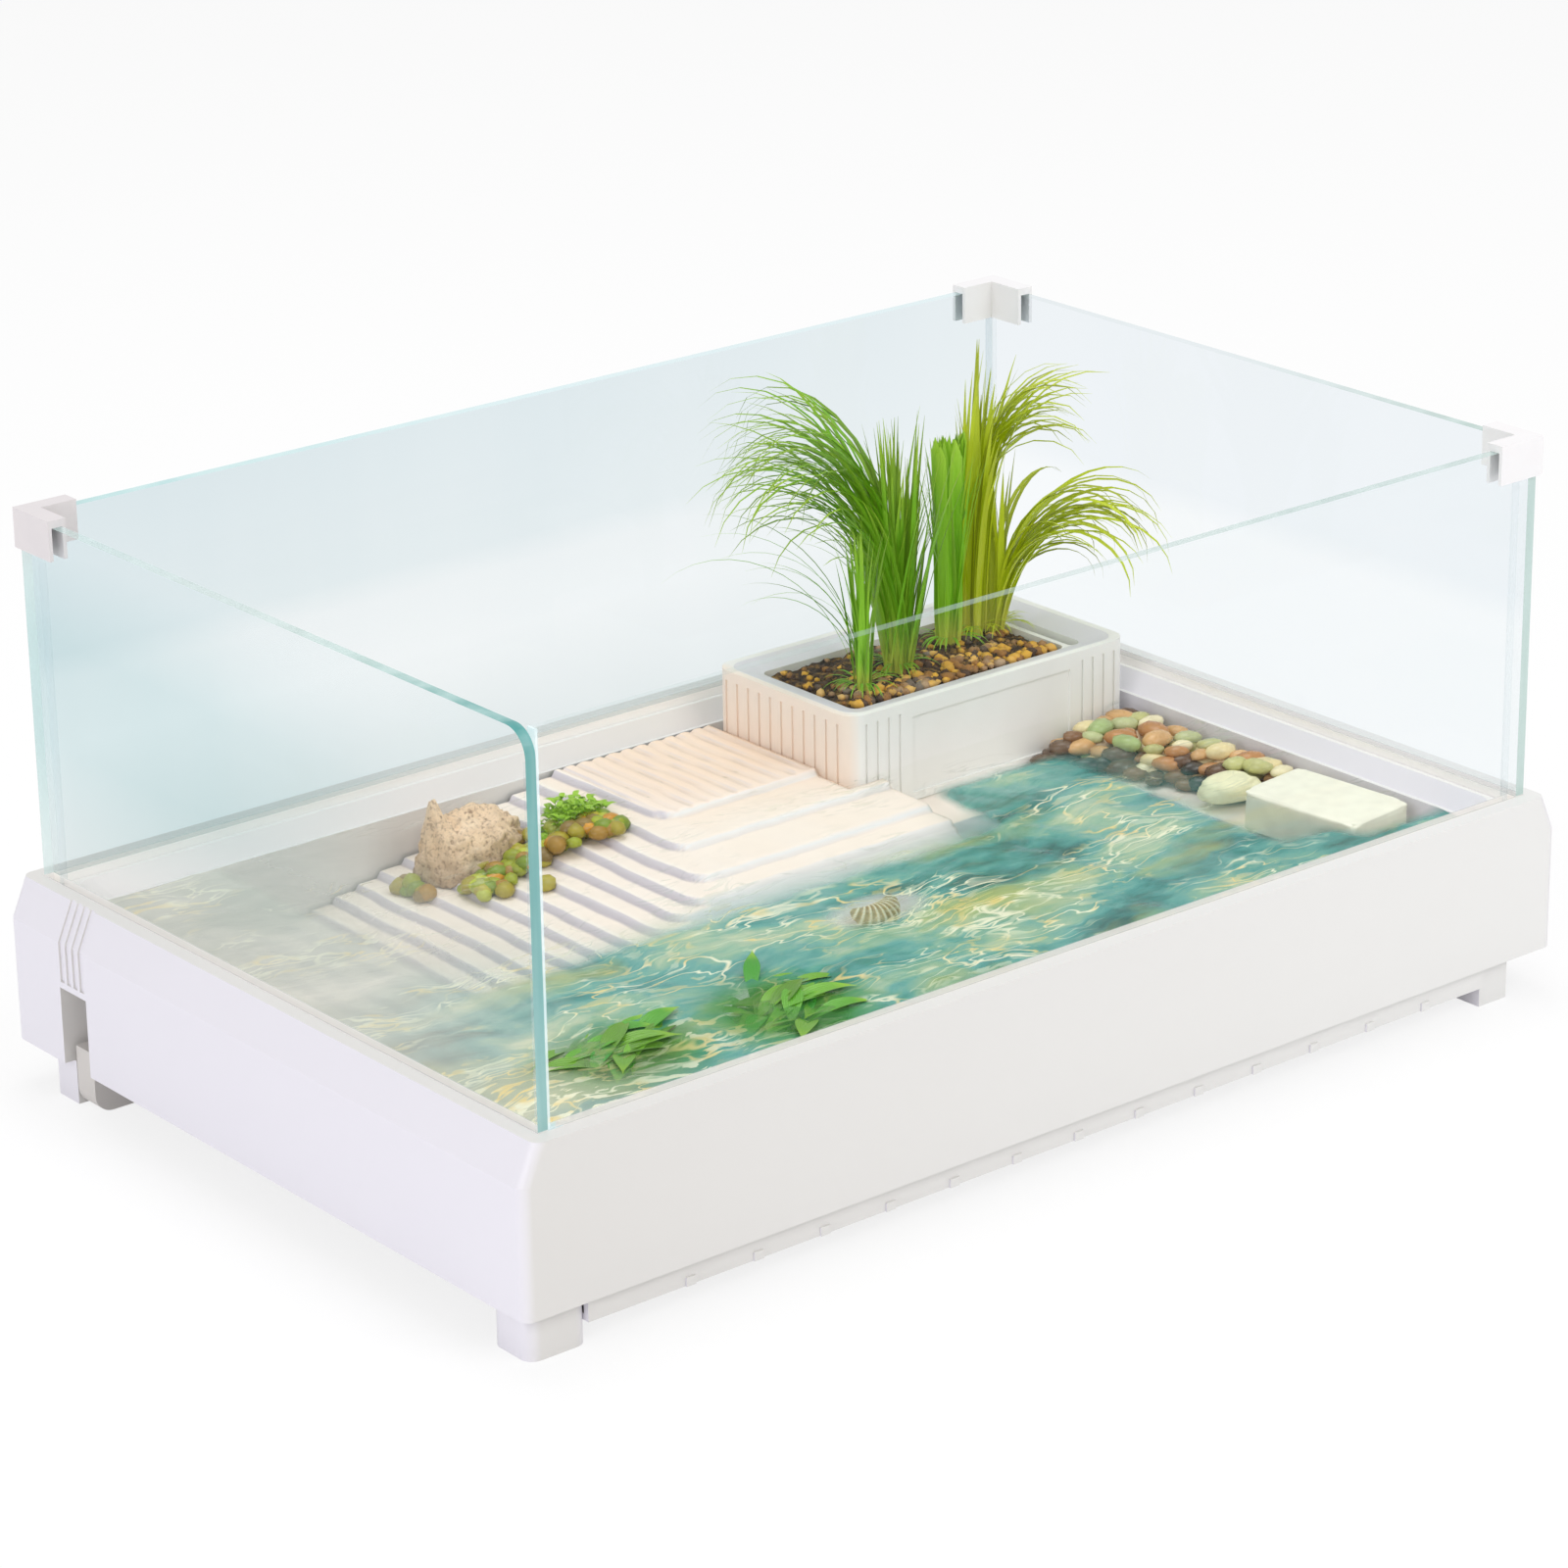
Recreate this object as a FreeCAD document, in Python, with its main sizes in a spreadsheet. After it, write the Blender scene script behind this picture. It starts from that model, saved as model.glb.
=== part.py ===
import FreeCAD, Part
import math
import os
import re

import Sketcher

# Turtle tank: a moulded tub, four glass panes, a ridged ramp, a planter, and the stones and plants in it.
# Millimetres. Origin on the floor under the middle of the tub, +X along its length, +Y to its back, +Z up.

Vector = FreeCAD.Vector
doc = FreeCAD.newDocument("turtle_tank")

# Driving dimensions under the aliases that the expressions use. Names that end in top, bottom, seat or
# level are heights above the floor.
SIZES = {
    # Tub: skirt and rim.
    "tub_length": 600, "tub_width": 385, "skirt_bottom": 21, "slope_level": 80, "rim_top": 98,
    "end_slope": 8, "skirt_wall": 3, "skirt_corner": 5, "rim_underside": 82,
    # Glass, its groove and the lip inside it.
    "glass_inset_end": 15, "glass_inset_side": 8, "glass_thick": 5, "glass_clear": 0.3,
    "glass_seat": 88, "glass_top": 268, "pane_round": 12,
    "lip_width": 2.5, "lip_top": 94, "bevel_width": 7, "ledge_top": 85, "ledge_width": 2,
    # Basin.
    "wall_draft": 2, "basin_floor": 14, "basin_wall": 3, "basin_corner": 12,
    # Feet and the band under the skirt.
    "foot_inset": 5, "big_foot_length": 30, "big_foot_width": 26, "foot_length": 18, "foot_width": 16,
    "foot_from_end": 25, "foot_from_back": 26, "foot_round": 6,
    "band_inset": 3.5, "band_thick": 3, "band_bottom": 10, "band_top": 40,
    "bump_length": 5, "bump_depth": 1, "bump_height": 4, "bump_pitch": 36, "bump_count": 13,
    # Recess in the left end, the flutes over it and the drain in it.
    "recess_from_back": 40.5, "recess_width": 21.3, "recess_height": 37, "recess_depth": 25,
    "recess_wall": 2.5, "flute_count": 4, "flute_width": 3.4, "flute_depth": 1, "flute_above": 3,
    "spout_width": 14, "spout_inset": 4, "spout_bottom": 0.5, "spout_top": 30, "spout_round": 9,
    "spout_gap": 0.5,
    "drain_level": 17.3, "drain_radius": 2.8, "drain_clear": 0.2, "drain_wall": 0.8, "drain_stub": 3,
    "plug_radius": 5, "plug_thick": 3,
    # Seals and clips.
    "seal_size": 3.5, "seal_gap": 1,
    "clip_wall": 2, "clip_leg_end": 25, "clip_leg_side": 27, "clip_height": 18.5, "clip_rise": 3.5,
    "clip_clear": 0.2,
    # Half length and half width of the basin that the layout inside it, from here on, is drawn for.
    "layout_end": 266.2, "layout_side": 165.7,
    # Planter.
    "planter_left": 84, "planter_front": 60, "planter_length": 180, "planter_width": 103,
    "planter_top": 117, "planter_corner": 10, "planter_rim": 4, "planter_slope": 12,
    "slope_depth": 3.5, "planter_base": 3, "divider_thick": 3, "cell_length": 8,
    "groove_width": 1.6, "groove_depth": 1, "groove_margin": 5,
    "side_groove_count": 11, "side_groove_pitch": 8.4, "front_groove_count": 4, "front_groove_pitch": 7,
    "panel_margin": 8, "panel_depth": 1.2, "soil_below_rim": 6, "soil_clear": 0.3, "soil_crown": 2,
    "soil_shoulder": 14,
    # Ramp: landing, ridges and the shelf that runs on under the planter and the pebbles.
    "landing_top": 86, "landing_left": -12, "landing_front": 84, "ridge_count": 16, "ridge_pitch": 13,
    "ridge_drop": 3.1, "front_step_wide": 30, "front_step_last": 16, "front_pitch": 3.5,
    "ramp_wall": 3, "ramp_clear": 0.5, "ramp_corner": 6, "apron_right": 104, "shelf_top": 66,
    "shelf_front": 22, "beach_left": 214, "beach_front": -150, "beach_step_left": 180,
    "beach_step_front": -134, "beach_step_top": 50,
    # Stones.
    "stone_gap": 0.3, "pebble_long": 15, "pebble_wide": 11, "pebble_thick": 17, "bed_rows": 9,
    "rock_long": 50, "rock_wide": 40, "rock_high": 27, "rock_x": -90, "rock_y": 128,
    "small_pebble": 11, "moss_wide": 34, "moss_high": 16, "moss_x": -40, "moss_y": 121,
    "slab_length": 70, "slab_width": 40, "slab_thick": 22, "slab_x": 240, "slab_y": -106, "slab_round": 4,
    "pale_stone_long": 31, "pale_stone_wide": 21, "pale_stone_high": 17, "pale_stone_x": 233,
    "pale_stone_y": -44, "grey_stone_long": 31, "grey_stone_wide": 38, "grey_stone_high": 24,
    "grey_stone_x": 197, "grey_stone_y": -110,
    "shell_radius": 11, "shell_thick": 5, "shell_x": 31, "shell_y": -14,
    # Plants.
    "grass_length": 182, "blade_width": 3, "blade_thick": 0.8, "soil_gap": 0.3,
    "row_start": 32, "row_front": 34, "row_stop": 134, "row_back": 62,
    "grit_size": 6, "leaf_length": 58, "leaf_width": 14,
}


def make_sheet():
    """A spreadsheet that holds the driving dimensions under their aliases."""
    table = doc.addObject("Spreadsheet::Sheet", "sizes")
    for row, (alias, size) in enumerate(SIZES.items(), start=1):
        table.set(f"A{row}", alias)
        table.set(f"B{row}", str(size))
        table.setAlias(f"B{row}", alias)
    doc.recompute()
    return table


sheet = make_sheet()
workings = doc.addObject("Spreadsheet::Sheet", "workings")


def bound(words):
    """Expression text: every alias in the words, which has an underscore, is read from the sheet."""
    return re.sub(r"[a-z]+(_[a-z]+)+", lambda found: "sizes." + found.group(0), str(words))


def number(words):
    """The number that the words give, worked out in a cell of its own sheet."""
    workings.set("A1", "=" + bound(words))
    workings.recompute()
    return float(workings.get("A1"))


def span(half):
    """Low and high words of a stretch that is centred on the origin."""
    return f"-({half})", f"{half}"


def grown(stretch, amount):
    """A stretch with both ends moved outwards by an amount."""
    low, high = stretch
    return f"({low}) - ({amount})", f"({high}) + ({amount})"


def inward(sign, half, near, far):
    """A stretch between two distances inwards from the end of a centred half length."""
    if sign < 0:
        return f"-({half}) + ({near})", f"-({half}) + ({far})"
    return f"({half}) - ({far})", f"({half}) - ({near})"


# Outlines that several pieces share: the outside of the tub and of the glass.
TUB_END, TUB_SIDE = "tub_length / 2", "tub_width / 2"
GLASS_END, GLASS_SIDE = f"{TUB_END} - glass_inset_end", f"{TUB_SIDE} - glass_inset_side"
INNER_END, INNER_SIDE = f"{GLASS_END} - glass_thick", f"{GLASS_SIDE} - glass_thick"
LIP_IN = "glass_clear + lip_width"
WALL_IN = f"{LIP_IN} + bevel_width + ledge_width"
BASIN_END = f"{INNER_END} - ({WALL_IN}) - wall_draft"
BASIN_SIDE = f"{INNER_SIDE} - ({WALL_IN}) - wall_draft"
RECESS_Y = (f"{TUB_SIDE} - recess_from_back - recess_width", f"{TUB_SIDE} - recess_from_back")
RECESS_MID = f"{TUB_SIDE} - recess_from_back - recess_width / 2"
# How far the basin is stretched from the one that the layout is drawn for: along it, across it, the least.
ALONG, ACROSS = f"(({BASIN_END}) / layout_end)", f"(({BASIN_SIDE}) / layout_side)"
LEAST = f"min({ALONG}; {ACROSS})"


def along(words):
    """Words for a place or length along X that keeps its share of the basin."""
    return f"({words}) * {ALONG}"


def across(words):
    """Words for a place or length along Y that keeps its share of the basin."""
    return f"({words}) * {ACROSS}"


def fitted(words):
    """Words for a size that shrinks or grows with the tighter of the basin's two sides."""
    return f"({words}) * {LEAST}"


# Parts made of primitives.
def box(name, x, y, z):
    """A box between low and high words along each axis."""
    solid = doc.addObject("Part::Box", name)
    for axis, side, (low, high) in zip("xyz", ("Length", "Width", "Height"), (x, y, z)):
        solid.setExpression(f"Placement.Base.{axis}", bound(low))
        solid.setExpression(side, bound(f"({high}) - ({low})"))
    return solid


def place(solid, x, y, z, turn=None):
    """Binds where a primitive stands. The turn is a fixed rotation."""
    if turn:
        solid.Placement.Rotation = turn
    for axis, words in zip("xyz", (x, y, z)):
        solid.setExpression(f"Placement.Base.{axis}", bound(words))
    return solid


def cylinder(name, radius, length, turn, x, y, z, angle=360):
    """A cylinder, or a sector of one."""
    solid = doc.addObject("Part::Cylinder", name)
    solid.setExpression("Radius", bound(radius))
    solid.setExpression("Height", bound(length))
    solid.Angle = angle
    return place(solid, x, y, z, turn)


def stone(name, long, wide, thick, x, y, z, turn=None):
    """An ellipsoid whose lengths along X, Y and Z are given as words."""
    solid = doc.addObject("Part::Ellipsoid", name)
    for radius, words in zip(("Radius2", "Radius3", "Radius1"), (long, wide, thick)):
        solid.setExpression(radius, bound(f"({words}) / 2"))
    return place(solid, x, y, z, turn)


def joined(name, solids):
    """One solid made of several that overlap."""
    whole = doc.addObject("Part::MultiFuse", name)
    whole.Shapes = solids
    return whole


def group(name, solids):
    """Separate solids that share one node."""
    whole = doc.addObject("Part::Compound", name)
    whole.Links = solids
    return whole


def less(name, base, tool):
    """The base with the tool cut away."""
    rest = doc.addObject("Part::Cut", name)
    rest.Base = base
    rest.Tool = tool
    return rest


def rounded(name, base, radius, wanted):
    """The base with the wanted edges rounded."""
    doc.recompute()
    solid = doc.addObject("Part::Fillet", name)
    solid.Base = base
    radius = number(radius)
    edges = enumerate(base.Shape.Edges, start=1)
    solid.Edges = [(place_in_list, radius, radius) for place_in_list, edge in edges if wanted(edge)]
    return solid


def upright(edge):
    """Whether an edge is straight and vertical."""
    bounds = edge.BoundBox
    return bounds.ZLength > 0.1 and bounds.XLength < 0.01 and bounds.YLength < 0.01


# Parts made of sketches and features.
def origin_plane(body, role):
    """One of a body's own origin planes or axes."""
    return next(item for item in body.Origin.OriginFeatures if item.Role == role)


def draw_rectangle(sketch, width, depth, radius=None):
    """A rectangle centred in a sketch, with its corners rounded if a radius is given."""
    half_x, half_y = number(width) / 2, number(depth) / 2
    cut = number(radius) if radius else 0
    first = sketch.GeometryCount
    sides = (
        ((cut - half_x, -half_y), (half_x - cut, -half_y)),
        ((half_x, cut - half_y), (half_x, half_y - cut)),
        ((half_x - cut, half_y), (cut - half_x, half_y)),
        ((-half_x, half_y - cut), (-half_x, cut - half_y)),
    )
    for start, stop in sides:
        sketch.addGeometry(Part.LineSegment(Vector(*start, 0), Vector(*stop, 0)))

    def tie(kind, *arguments):
        return sketch.addConstraint(Sketcher.Constraint(kind, *arguments))

    def tie_size(words, kind, *arguments):
        index = tie(kind, *arguments, number(words))
        sketch.setExpression(f"Constraints[{index}]", bound(words))

    arcs = first + 4
    if radius:
        corners = ((half_x - cut, cut - half_y), (half_x - cut, half_y - cut),
                   (cut - half_x, half_y - cut), (cut - half_x, cut - half_y))
        for side, (x, y) in enumerate(corners):
            circle = Part.Circle(Vector(x, y, 0), Vector(0, 0, 1), cut)
            start = math.radians(90 * side - 90)
            sketch.addGeometry(Part.ArcOfCircle(circle, start, start + math.pi / 2))
    for side in range(4):
        following = first + (side + 1) % 4
        if radius:
            tie("Tangent", first + side, 2, arcs + side, 1)
            tie("Tangent", arcs + side, 2, following, 1)
        else:
            tie("Coincident", first + side, 2, following, 1)
        tie("Vertical" if side % 2 else "Horizontal", first + side)
    if radius:
        for side in range(1, 4):
            tie("Equal", arcs, arcs + side)
        tie_size(radius, "Radius", arcs)
    tie_size(width, "DistanceX", first + 3, 1, first + 1, 1)
    tie_size(depth, "DistanceY", first, 1, first + 2, 1)
    tie("Symmetric", first, 1, first + 2, 1, -1, 1)


def rectangle(body, name, x, y, level, radius=None):
    """A level sketch of the rectangle between the low and high words of x and y."""
    sketch = body.newObject("Sketcher::SketchObject", name)
    sketch.AttachmentSupport = [(origin_plane(body, "XY_Plane"), "")]
    sketch.MapMode = "FlatFace"
    for axis, (low, high) in zip("xy", (x, y)):
        sketch.setExpression(f"AttachmentOffset.Base.{axis}", bound(f"(({low}) + ({high})) / 2"))
    sketch.setExpression("AttachmentOffset.Base.z", bound(level))
    draw_rectangle(sketch, *(f"({high}) - ({low})" for low, high in (x, y)), radius)
    return sketch


def feature(body, kind, name, sketch, length=None, up=True, sections=()):
    """Adds a pad, pocket or loft to a body and makes sure that it changes the solid."""
    before = body.Shape.Volume if body.Tip else 0
    made = body.newObject(f"PartDesign::{kind}", name)
    made.Profile = sketch
    if length:
        made.setExpression("Length", bound(length))
        made.Reversed = up == (kind == "Pocket")
    if sections:
        made.Sections = list(sections)
        made.Ruled = True
    doc.recompute()
    if abs(body.Shape.Volume - before) < 1:
        raise ValueError(f"{name} changes nothing")
    return made


def raise_block(body, name, x, y, z, radius=None):
    """A pad from one level up to another."""
    low, high = z
    outline = rectangle(body, name + "_outline", x, y, low, radius)
    return feature(body, "Pad", name, outline, f"({high}) - ({low})")


def sink_block(body, name, x, y, z, radius=None):
    """A pocket from the upper level down to the lower one."""
    low, high = z
    outline = rectangle(body, name + "_outline", x, y, high, radius)
    return feature(body, "Pocket", name, outline, f"({high}) - ({low})", up=False)


def loft(body, name, kind, lower, upper):
    """A loft between two rectangles, each given as x, y, level and radius."""
    bottom = rectangle(body, name + "_low", *lower)
    top = rectangle(body, name + "_high", *upper)
    return feature(body, kind, name, bottom, sections=[top])


def pattern(body, name, originals, axis, pitch, count):
    """Repeats features along an axis of the body."""
    repeat = body.newObject("PartDesign::LinearPattern", name)
    repeat.Originals = originals
    repeat.Direction = (origin_plane(body, axis), [""])
    repeat.Mode = "Spacing"
    repeat.setExpression("Offset", bound(pitch))
    repeat.setExpression("Occurrences", bound(count))
    body.Tip = repeat
    doc.recompute()
    return repeat


def new_body(name):
    """An empty body."""
    return doc.addObject("PartDesign::Body", name)


def make_tub():
    """The moulded tub: skirt, rim with its groove, basin, feet, band, recess and flutes."""
    body = new_body("tub")
    end, side = span(TUB_END), span(TUB_SIDE)
    rim_end = grown(end, "-end_slope")
    raise_block(body, "skirt", end, side, ("skirt_bottom", "slope_level"), "skirt_corner")
    loft(body, "slope", "AdditiveLoft", (end, side, "slope_level", "skirt_corner"),
         (rim_end, side, "rim_top", "skirt_corner"))
    sink_block(body, "skirt_hollow", grown(end, "-skirt_wall"), grown(side, "-skirt_wall"),
               ("skirt_bottom", "rim_underside"))

    basin_x, basin_y = span(BASIN_END), span(BASIN_SIDE)
    ledge_x, ledge_y = grown(basin_x, "wall_draft"), grown(basin_y, "wall_draft")
    loft(body, "basin_shell", "AdditiveLoft",
         (grown(basin_x, "basin_wall"), grown(basin_y, "basin_wall"), "basin_floor - basin_wall",
          "basin_corner + basin_wall"),
         (grown(ledge_x, "basin_wall"), grown(ledge_y, "basin_wall"), "rim_underside + 1",
          "basin_corner + basin_wall"))

    foot_top = "rim_underside + 1"
    big_x = inward(-1, TUB_END, "foot_inset", "foot_inset + big_foot_length")
    big_y = inward(-1, TUB_SIDE, "foot_inset", "foot_inset + big_foot_width")
    raise_block(body, "foot_front_left", big_x, big_y, ("0", foot_top), "foot_round")
    back_x = inward(-1, TUB_END, "foot_inset", "foot_inset + foot_length")
    back_y = inward(1, TUB_SIDE, "foot_from_back", "foot_from_back + foot_width")
    raise_block(body, "foot_back_left", back_x, back_y, ("0", foot_top))
    right_x = inward(1, TUB_END, "foot_from_end", "foot_from_end + foot_length")
    for sign, name in ((-1, "foot_front_right"), (1, "foot_back_right")):
        right_y = inward(sign, TUB_SIDE, "foot_inset", "foot_inset + foot_width")
        raise_block(body, name, right_x, right_y, ("0", foot_top))

    band_x = (f"{big_x[1]} - 1", f"{right_x[0]} + 1")
    band_y = span(f"{TUB_SIDE} - band_inset")
    raise_block(body, "band_plate", band_x, band_y, ("band_bottom", "band_bottom + band_thick"))
    for sign, name in ((-1, "band_front"), (1, "band_back")):
        wall_y = inward(sign, f"{TUB_SIDE} - band_inset", "0", "band_thick")
        raise_block(body, name, band_x, wall_y, ("band_bottom", "band_top"))
    bump_x = ("-bump_pitch * (bump_count - 1) / 2", "bump_length - bump_pitch * (bump_count - 1) / 2")
    bump_y = inward(-1, f"{TUB_SIDE} - band_inset", "-bump_depth", "band_thick / 2")
    bump = raise_block(body, "bump", bump_x, bump_y, ("band_bottom", "band_bottom + bump_height"))
    pattern(body, "bumps", [bump], "X_Axis", "bump_pitch", "bump_count")

    box_x = inward(-1, TUB_END, "skirt_wall / 2", "recess_depth + recess_wall")
    recess_top = "skirt_bottom + recess_height"
    raise_block(body, "recess_box", box_x, grown(RECESS_Y, "recess_wall"),
                ("skirt_bottom", f"{recess_top} + recess_wall"))

    lip_x, lip_y = span(f"{INNER_END} - glass_clear"), span(f"{INNER_SIDE} - glass_clear")
    sink_block(body, "lip_drop", lip_x, lip_y, ("lip_top", "rim_top"))
    loft(body, "bevel", "SubtractiveLoft",
         (grown(ledge_x, "ledge_width"), grown(ledge_y, "ledge_width"), "ledge_top", "basin_corner"),
         (grown(lip_x, "-lip_width"), grown(lip_y, "-lip_width"), "lip_top", "basin_corner"))
    loft(body, "basin", "SubtractiveLoft",
         (basin_x, basin_y, "basin_floor", "basin_corner"),
         (ledge_x, ledge_y, "ledge_top", "basin_corner"))

    groove_x, groove_y = span(f"{GLASS_END} + glass_clear"), span(f"{GLASS_SIDE} + glass_clear")
    groove = rectangle(body, "groove_outline", groove_x, groove_y, "rim_top")
    draw_rectangle(groove, f"2 * ({INNER_END} - glass_clear)", f"2 * ({INNER_SIDE} - glass_clear)")
    feature(body, "Pocket", "groove", groove, "rim_top - glass_seat", up=False)

    sink_block(body, "recess", inward(-1, TUB_END, "-1", "recess_depth"), RECESS_Y,
               ("skirt_bottom", recess_top))
    flute_pitch = "recess_width / flute_count"
    first_y = (f"{RECESS_Y[0]} + ({flute_pitch} - flute_width) / 2",
               f"{RECESS_Y[0]} + ({flute_pitch} + flute_width) / 2")
    flute_x = inward(-1, TUB_END, "-1", "flute_depth")
    straight = sink_block(body, "flute", flute_x, first_y, (f"{recess_top} + flute_above", "slope_level"))
    leaning = loft(body, "flute_slope", "SubtractiveLoft", (flute_x, first_y, "slope_level"),
                   (inward(-1, f"{TUB_END} - end_slope", "-1", "flute_depth"), first_y, "rim_top"))
    pattern(body, "flutes", [straight, leaning], "Y_Axis", flute_pitch, "flute_count")

    hole = doc.addObject("Part::Cylinder", "drain_hole")
    hole.setExpression("Radius", bound("drain_radius + drain_clear"))
    hole.setExpression("Height", bound("basin_wall * 4"))
    place(hole, f"-({BASIN_END}) - basin_wall * 2", RECESS_MID, "drain_level",
          FreeCAD.Rotation(Vector(0, 1, 0), 90))
    body.Label = "tub_moulding"
    return less("tub_drilled", body, hole)


def make_panes():
    """Four panes: the end panes run the whole width, and the long ones stand between them."""
    height = ("glass_seat", "glass_top")
    panes = {}
    for sign, name in ((-1, "pane_left"), (1, "pane_right")):
        pane_x = inward(sign, GLASS_END, "0", "glass_thick")
        panes[name] = box(name + "_plate", pane_x, span(GLASS_SIDE), height)
    for sign, name in ((-1, "pane_front"), (1, "pane_back")):
        pane_y = inward(sign, GLASS_SIDE, "0", "glass_thick")
        panes[name] = box(name + "_plate", span(INNER_END), pane_y, height)

    front, top = -number(GLASS_SIDE), number("glass_top")

    def front_top(edge):
        bounds = edge.BoundBox
        return abs(bounds.YMin - front) + abs(bounds.YMax - front) + abs(bounds.ZMin - top) < 0.01

    panes["pane_left"] = rounded("pane_left_round", panes["pane_left"], "pane_round", front_top)
    return panes


def make_seals():
    """Clear beads inside the four pane corners, below the clips."""
    corners = ((-1, -1, "seal_front_left", 0), (1, -1, "seal_front_right", 90),
               (1, 1, "seal_back_right", 180), (-1, 1, "seal_back_left", 270))
    height = "glass_top + clip_rise - clip_height - seal_gap - lip_top"
    seals = {}
    for sign_x, sign_y, name, turn in corners:
        seals[name] = cylinder(name + "_bead", "seal_size", height, FreeCAD.Rotation(Vector(0, 0, 1), turn),
                               f"{sign_x} * ({INNER_END})", f"{sign_y} * ({INNER_SIDE})", "lip_top", 90)
    return seals


def make_clips():
    """L-shaped caps over three pane corners, each with a slot for both panes."""
    clips = {}
    level = ("glass_top + clip_rise - clip_height", "glass_top + clip_rise")
    slot_level = (f"{level[0]} - 1", "glass_top")
    corners = ((-1, 1, "clip_back_left"), (1, 1, "clip_back_right"), (1, -1, "clip_front_right"))
    thick = "glass_thick + clip_wall"
    slot_in = "glass_thick + clip_clear"
    for sign_x, sign_y, name in corners:
        legs = []
        slots = []
        for leg, far_x, far_y, slot_x, slot_y in (
            ("end", "clip_leg_end", thick, "clip_leg_end + 1", slot_in),
            ("side", thick, "clip_leg_side", slot_in, "clip_leg_side + 1"),
        ):
            legs.append(box(f"{name}_leg_{leg}", inward(sign_x, GLASS_END, "-clip_wall", far_x),
                            inward(sign_y, GLASS_SIDE, "-clip_wall", far_y), level))
            slots.append(box(f"{name}_slot_{leg}", inward(sign_x, GLASS_END, "-clip_clear", slot_x),
                             inward(sign_y, GLASS_SIDE, "-clip_clear", slot_y), slot_level))
        clips[name] = less(f"{name}_cap", joined(f"{name}_legs", legs), joined(f"{name}_slots", slots))
    return clips


def make_drain():
    """The drain spout under the recess and the plug on its inner end."""
    top = "skirt_bottom - spout_gap"
    body_x = (f"-({TUB_END}) + spout_inset", f"-({BASIN_END}) - basin_wall - wall_draft - spout_gap")
    body_y = (f"{RECESS_MID} - spout_width / 2", f"{RECESS_MID} + spout_width / 2")
    block = box("spout_block", body_x, body_y, ("spout_bottom", top))
    outer, lowest = number(body_x[0]), number("spout_bottom")

    def outer_edge(edge):
        bounds = edge.BoundBox
        return abs(bounds.XMax - outer) < 0.01 and abs(bounds.ZMax - lowest) < 0.01

    block = rounded("spout_rounded", block, "spout_round", outer_edge)
    upper = box("spout_upper", (body_x[0], f"-({TUB_END}) + recess_depth - spout_gap"), body_y,
                ("skirt_bottom / 2", "spout_top"))
    level = FreeCAD.Rotation(Vector(0, 1, 0), 90)
    stub_start = f"{body_x[1]} - drain_stub"
    stub_end = f"-({BASIN_END}) + drain_stub"
    stub = cylinder("spout_stub", "drain_radius", f"({stub_end}) - ({stub_start})", level,
                    stub_start, RECESS_MID, "drain_level")
    bore_start = f"{body_x[0]} + spout_round + drain_stub"
    bore = cylinder("spout_bore", "drain_radius - drain_wall", f"({stub_end}) - ({bore_start}) + 1", level,
                    bore_start, RECESS_MID, "drain_level")
    outlet = cylinder("spout_outlet", "drain_radius - drain_wall", "drain_level - spout_bottom + 1", None,
                      f"{bore_start} + drain_radius - drain_wall", RECESS_MID, "spout_bottom - 1")
    spout = less("spout", joined("spout_body", [block, upper, stub]), joined("spout_way", [bore, outlet]))
    head = cylinder("plug_head", "plug_radius", "plug_thick", level, f"{stub_end} + drain_clear",
                    RECESS_MID, "basin_floor + plug_radius + drain_clear")
    stem = cylinder("plug_stem", "drain_radius - drain_wall - drain_clear", "drain_stub * 2", level,
                    f"{stub_end} - drain_stub * 2 + 1", RECESS_MID, "drain_level")
    return {"drain_spout": spout, "drain_plug": joined("plug", [head, stem])}


PLANTER_X = (along("planter_left"), along("planter_left + planter_length"))
PLANTER_Y = (across("planter_front"), across("planter_front + planter_width"))
PLANTER_IN = "(planter_rim + planter_slope)"
SOIL_X = (f"{PLANTER_X[0]} + {PLANTER_IN}", f"{PLANTER_X[1]} - {PLANTER_IN} - cell_length - divider_thick")
SOIL_Y = grown(PLANTER_Y, f"-{PLANTER_IN}")
SOIL_TOP = "planter_top - soil_below_rim"


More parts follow.
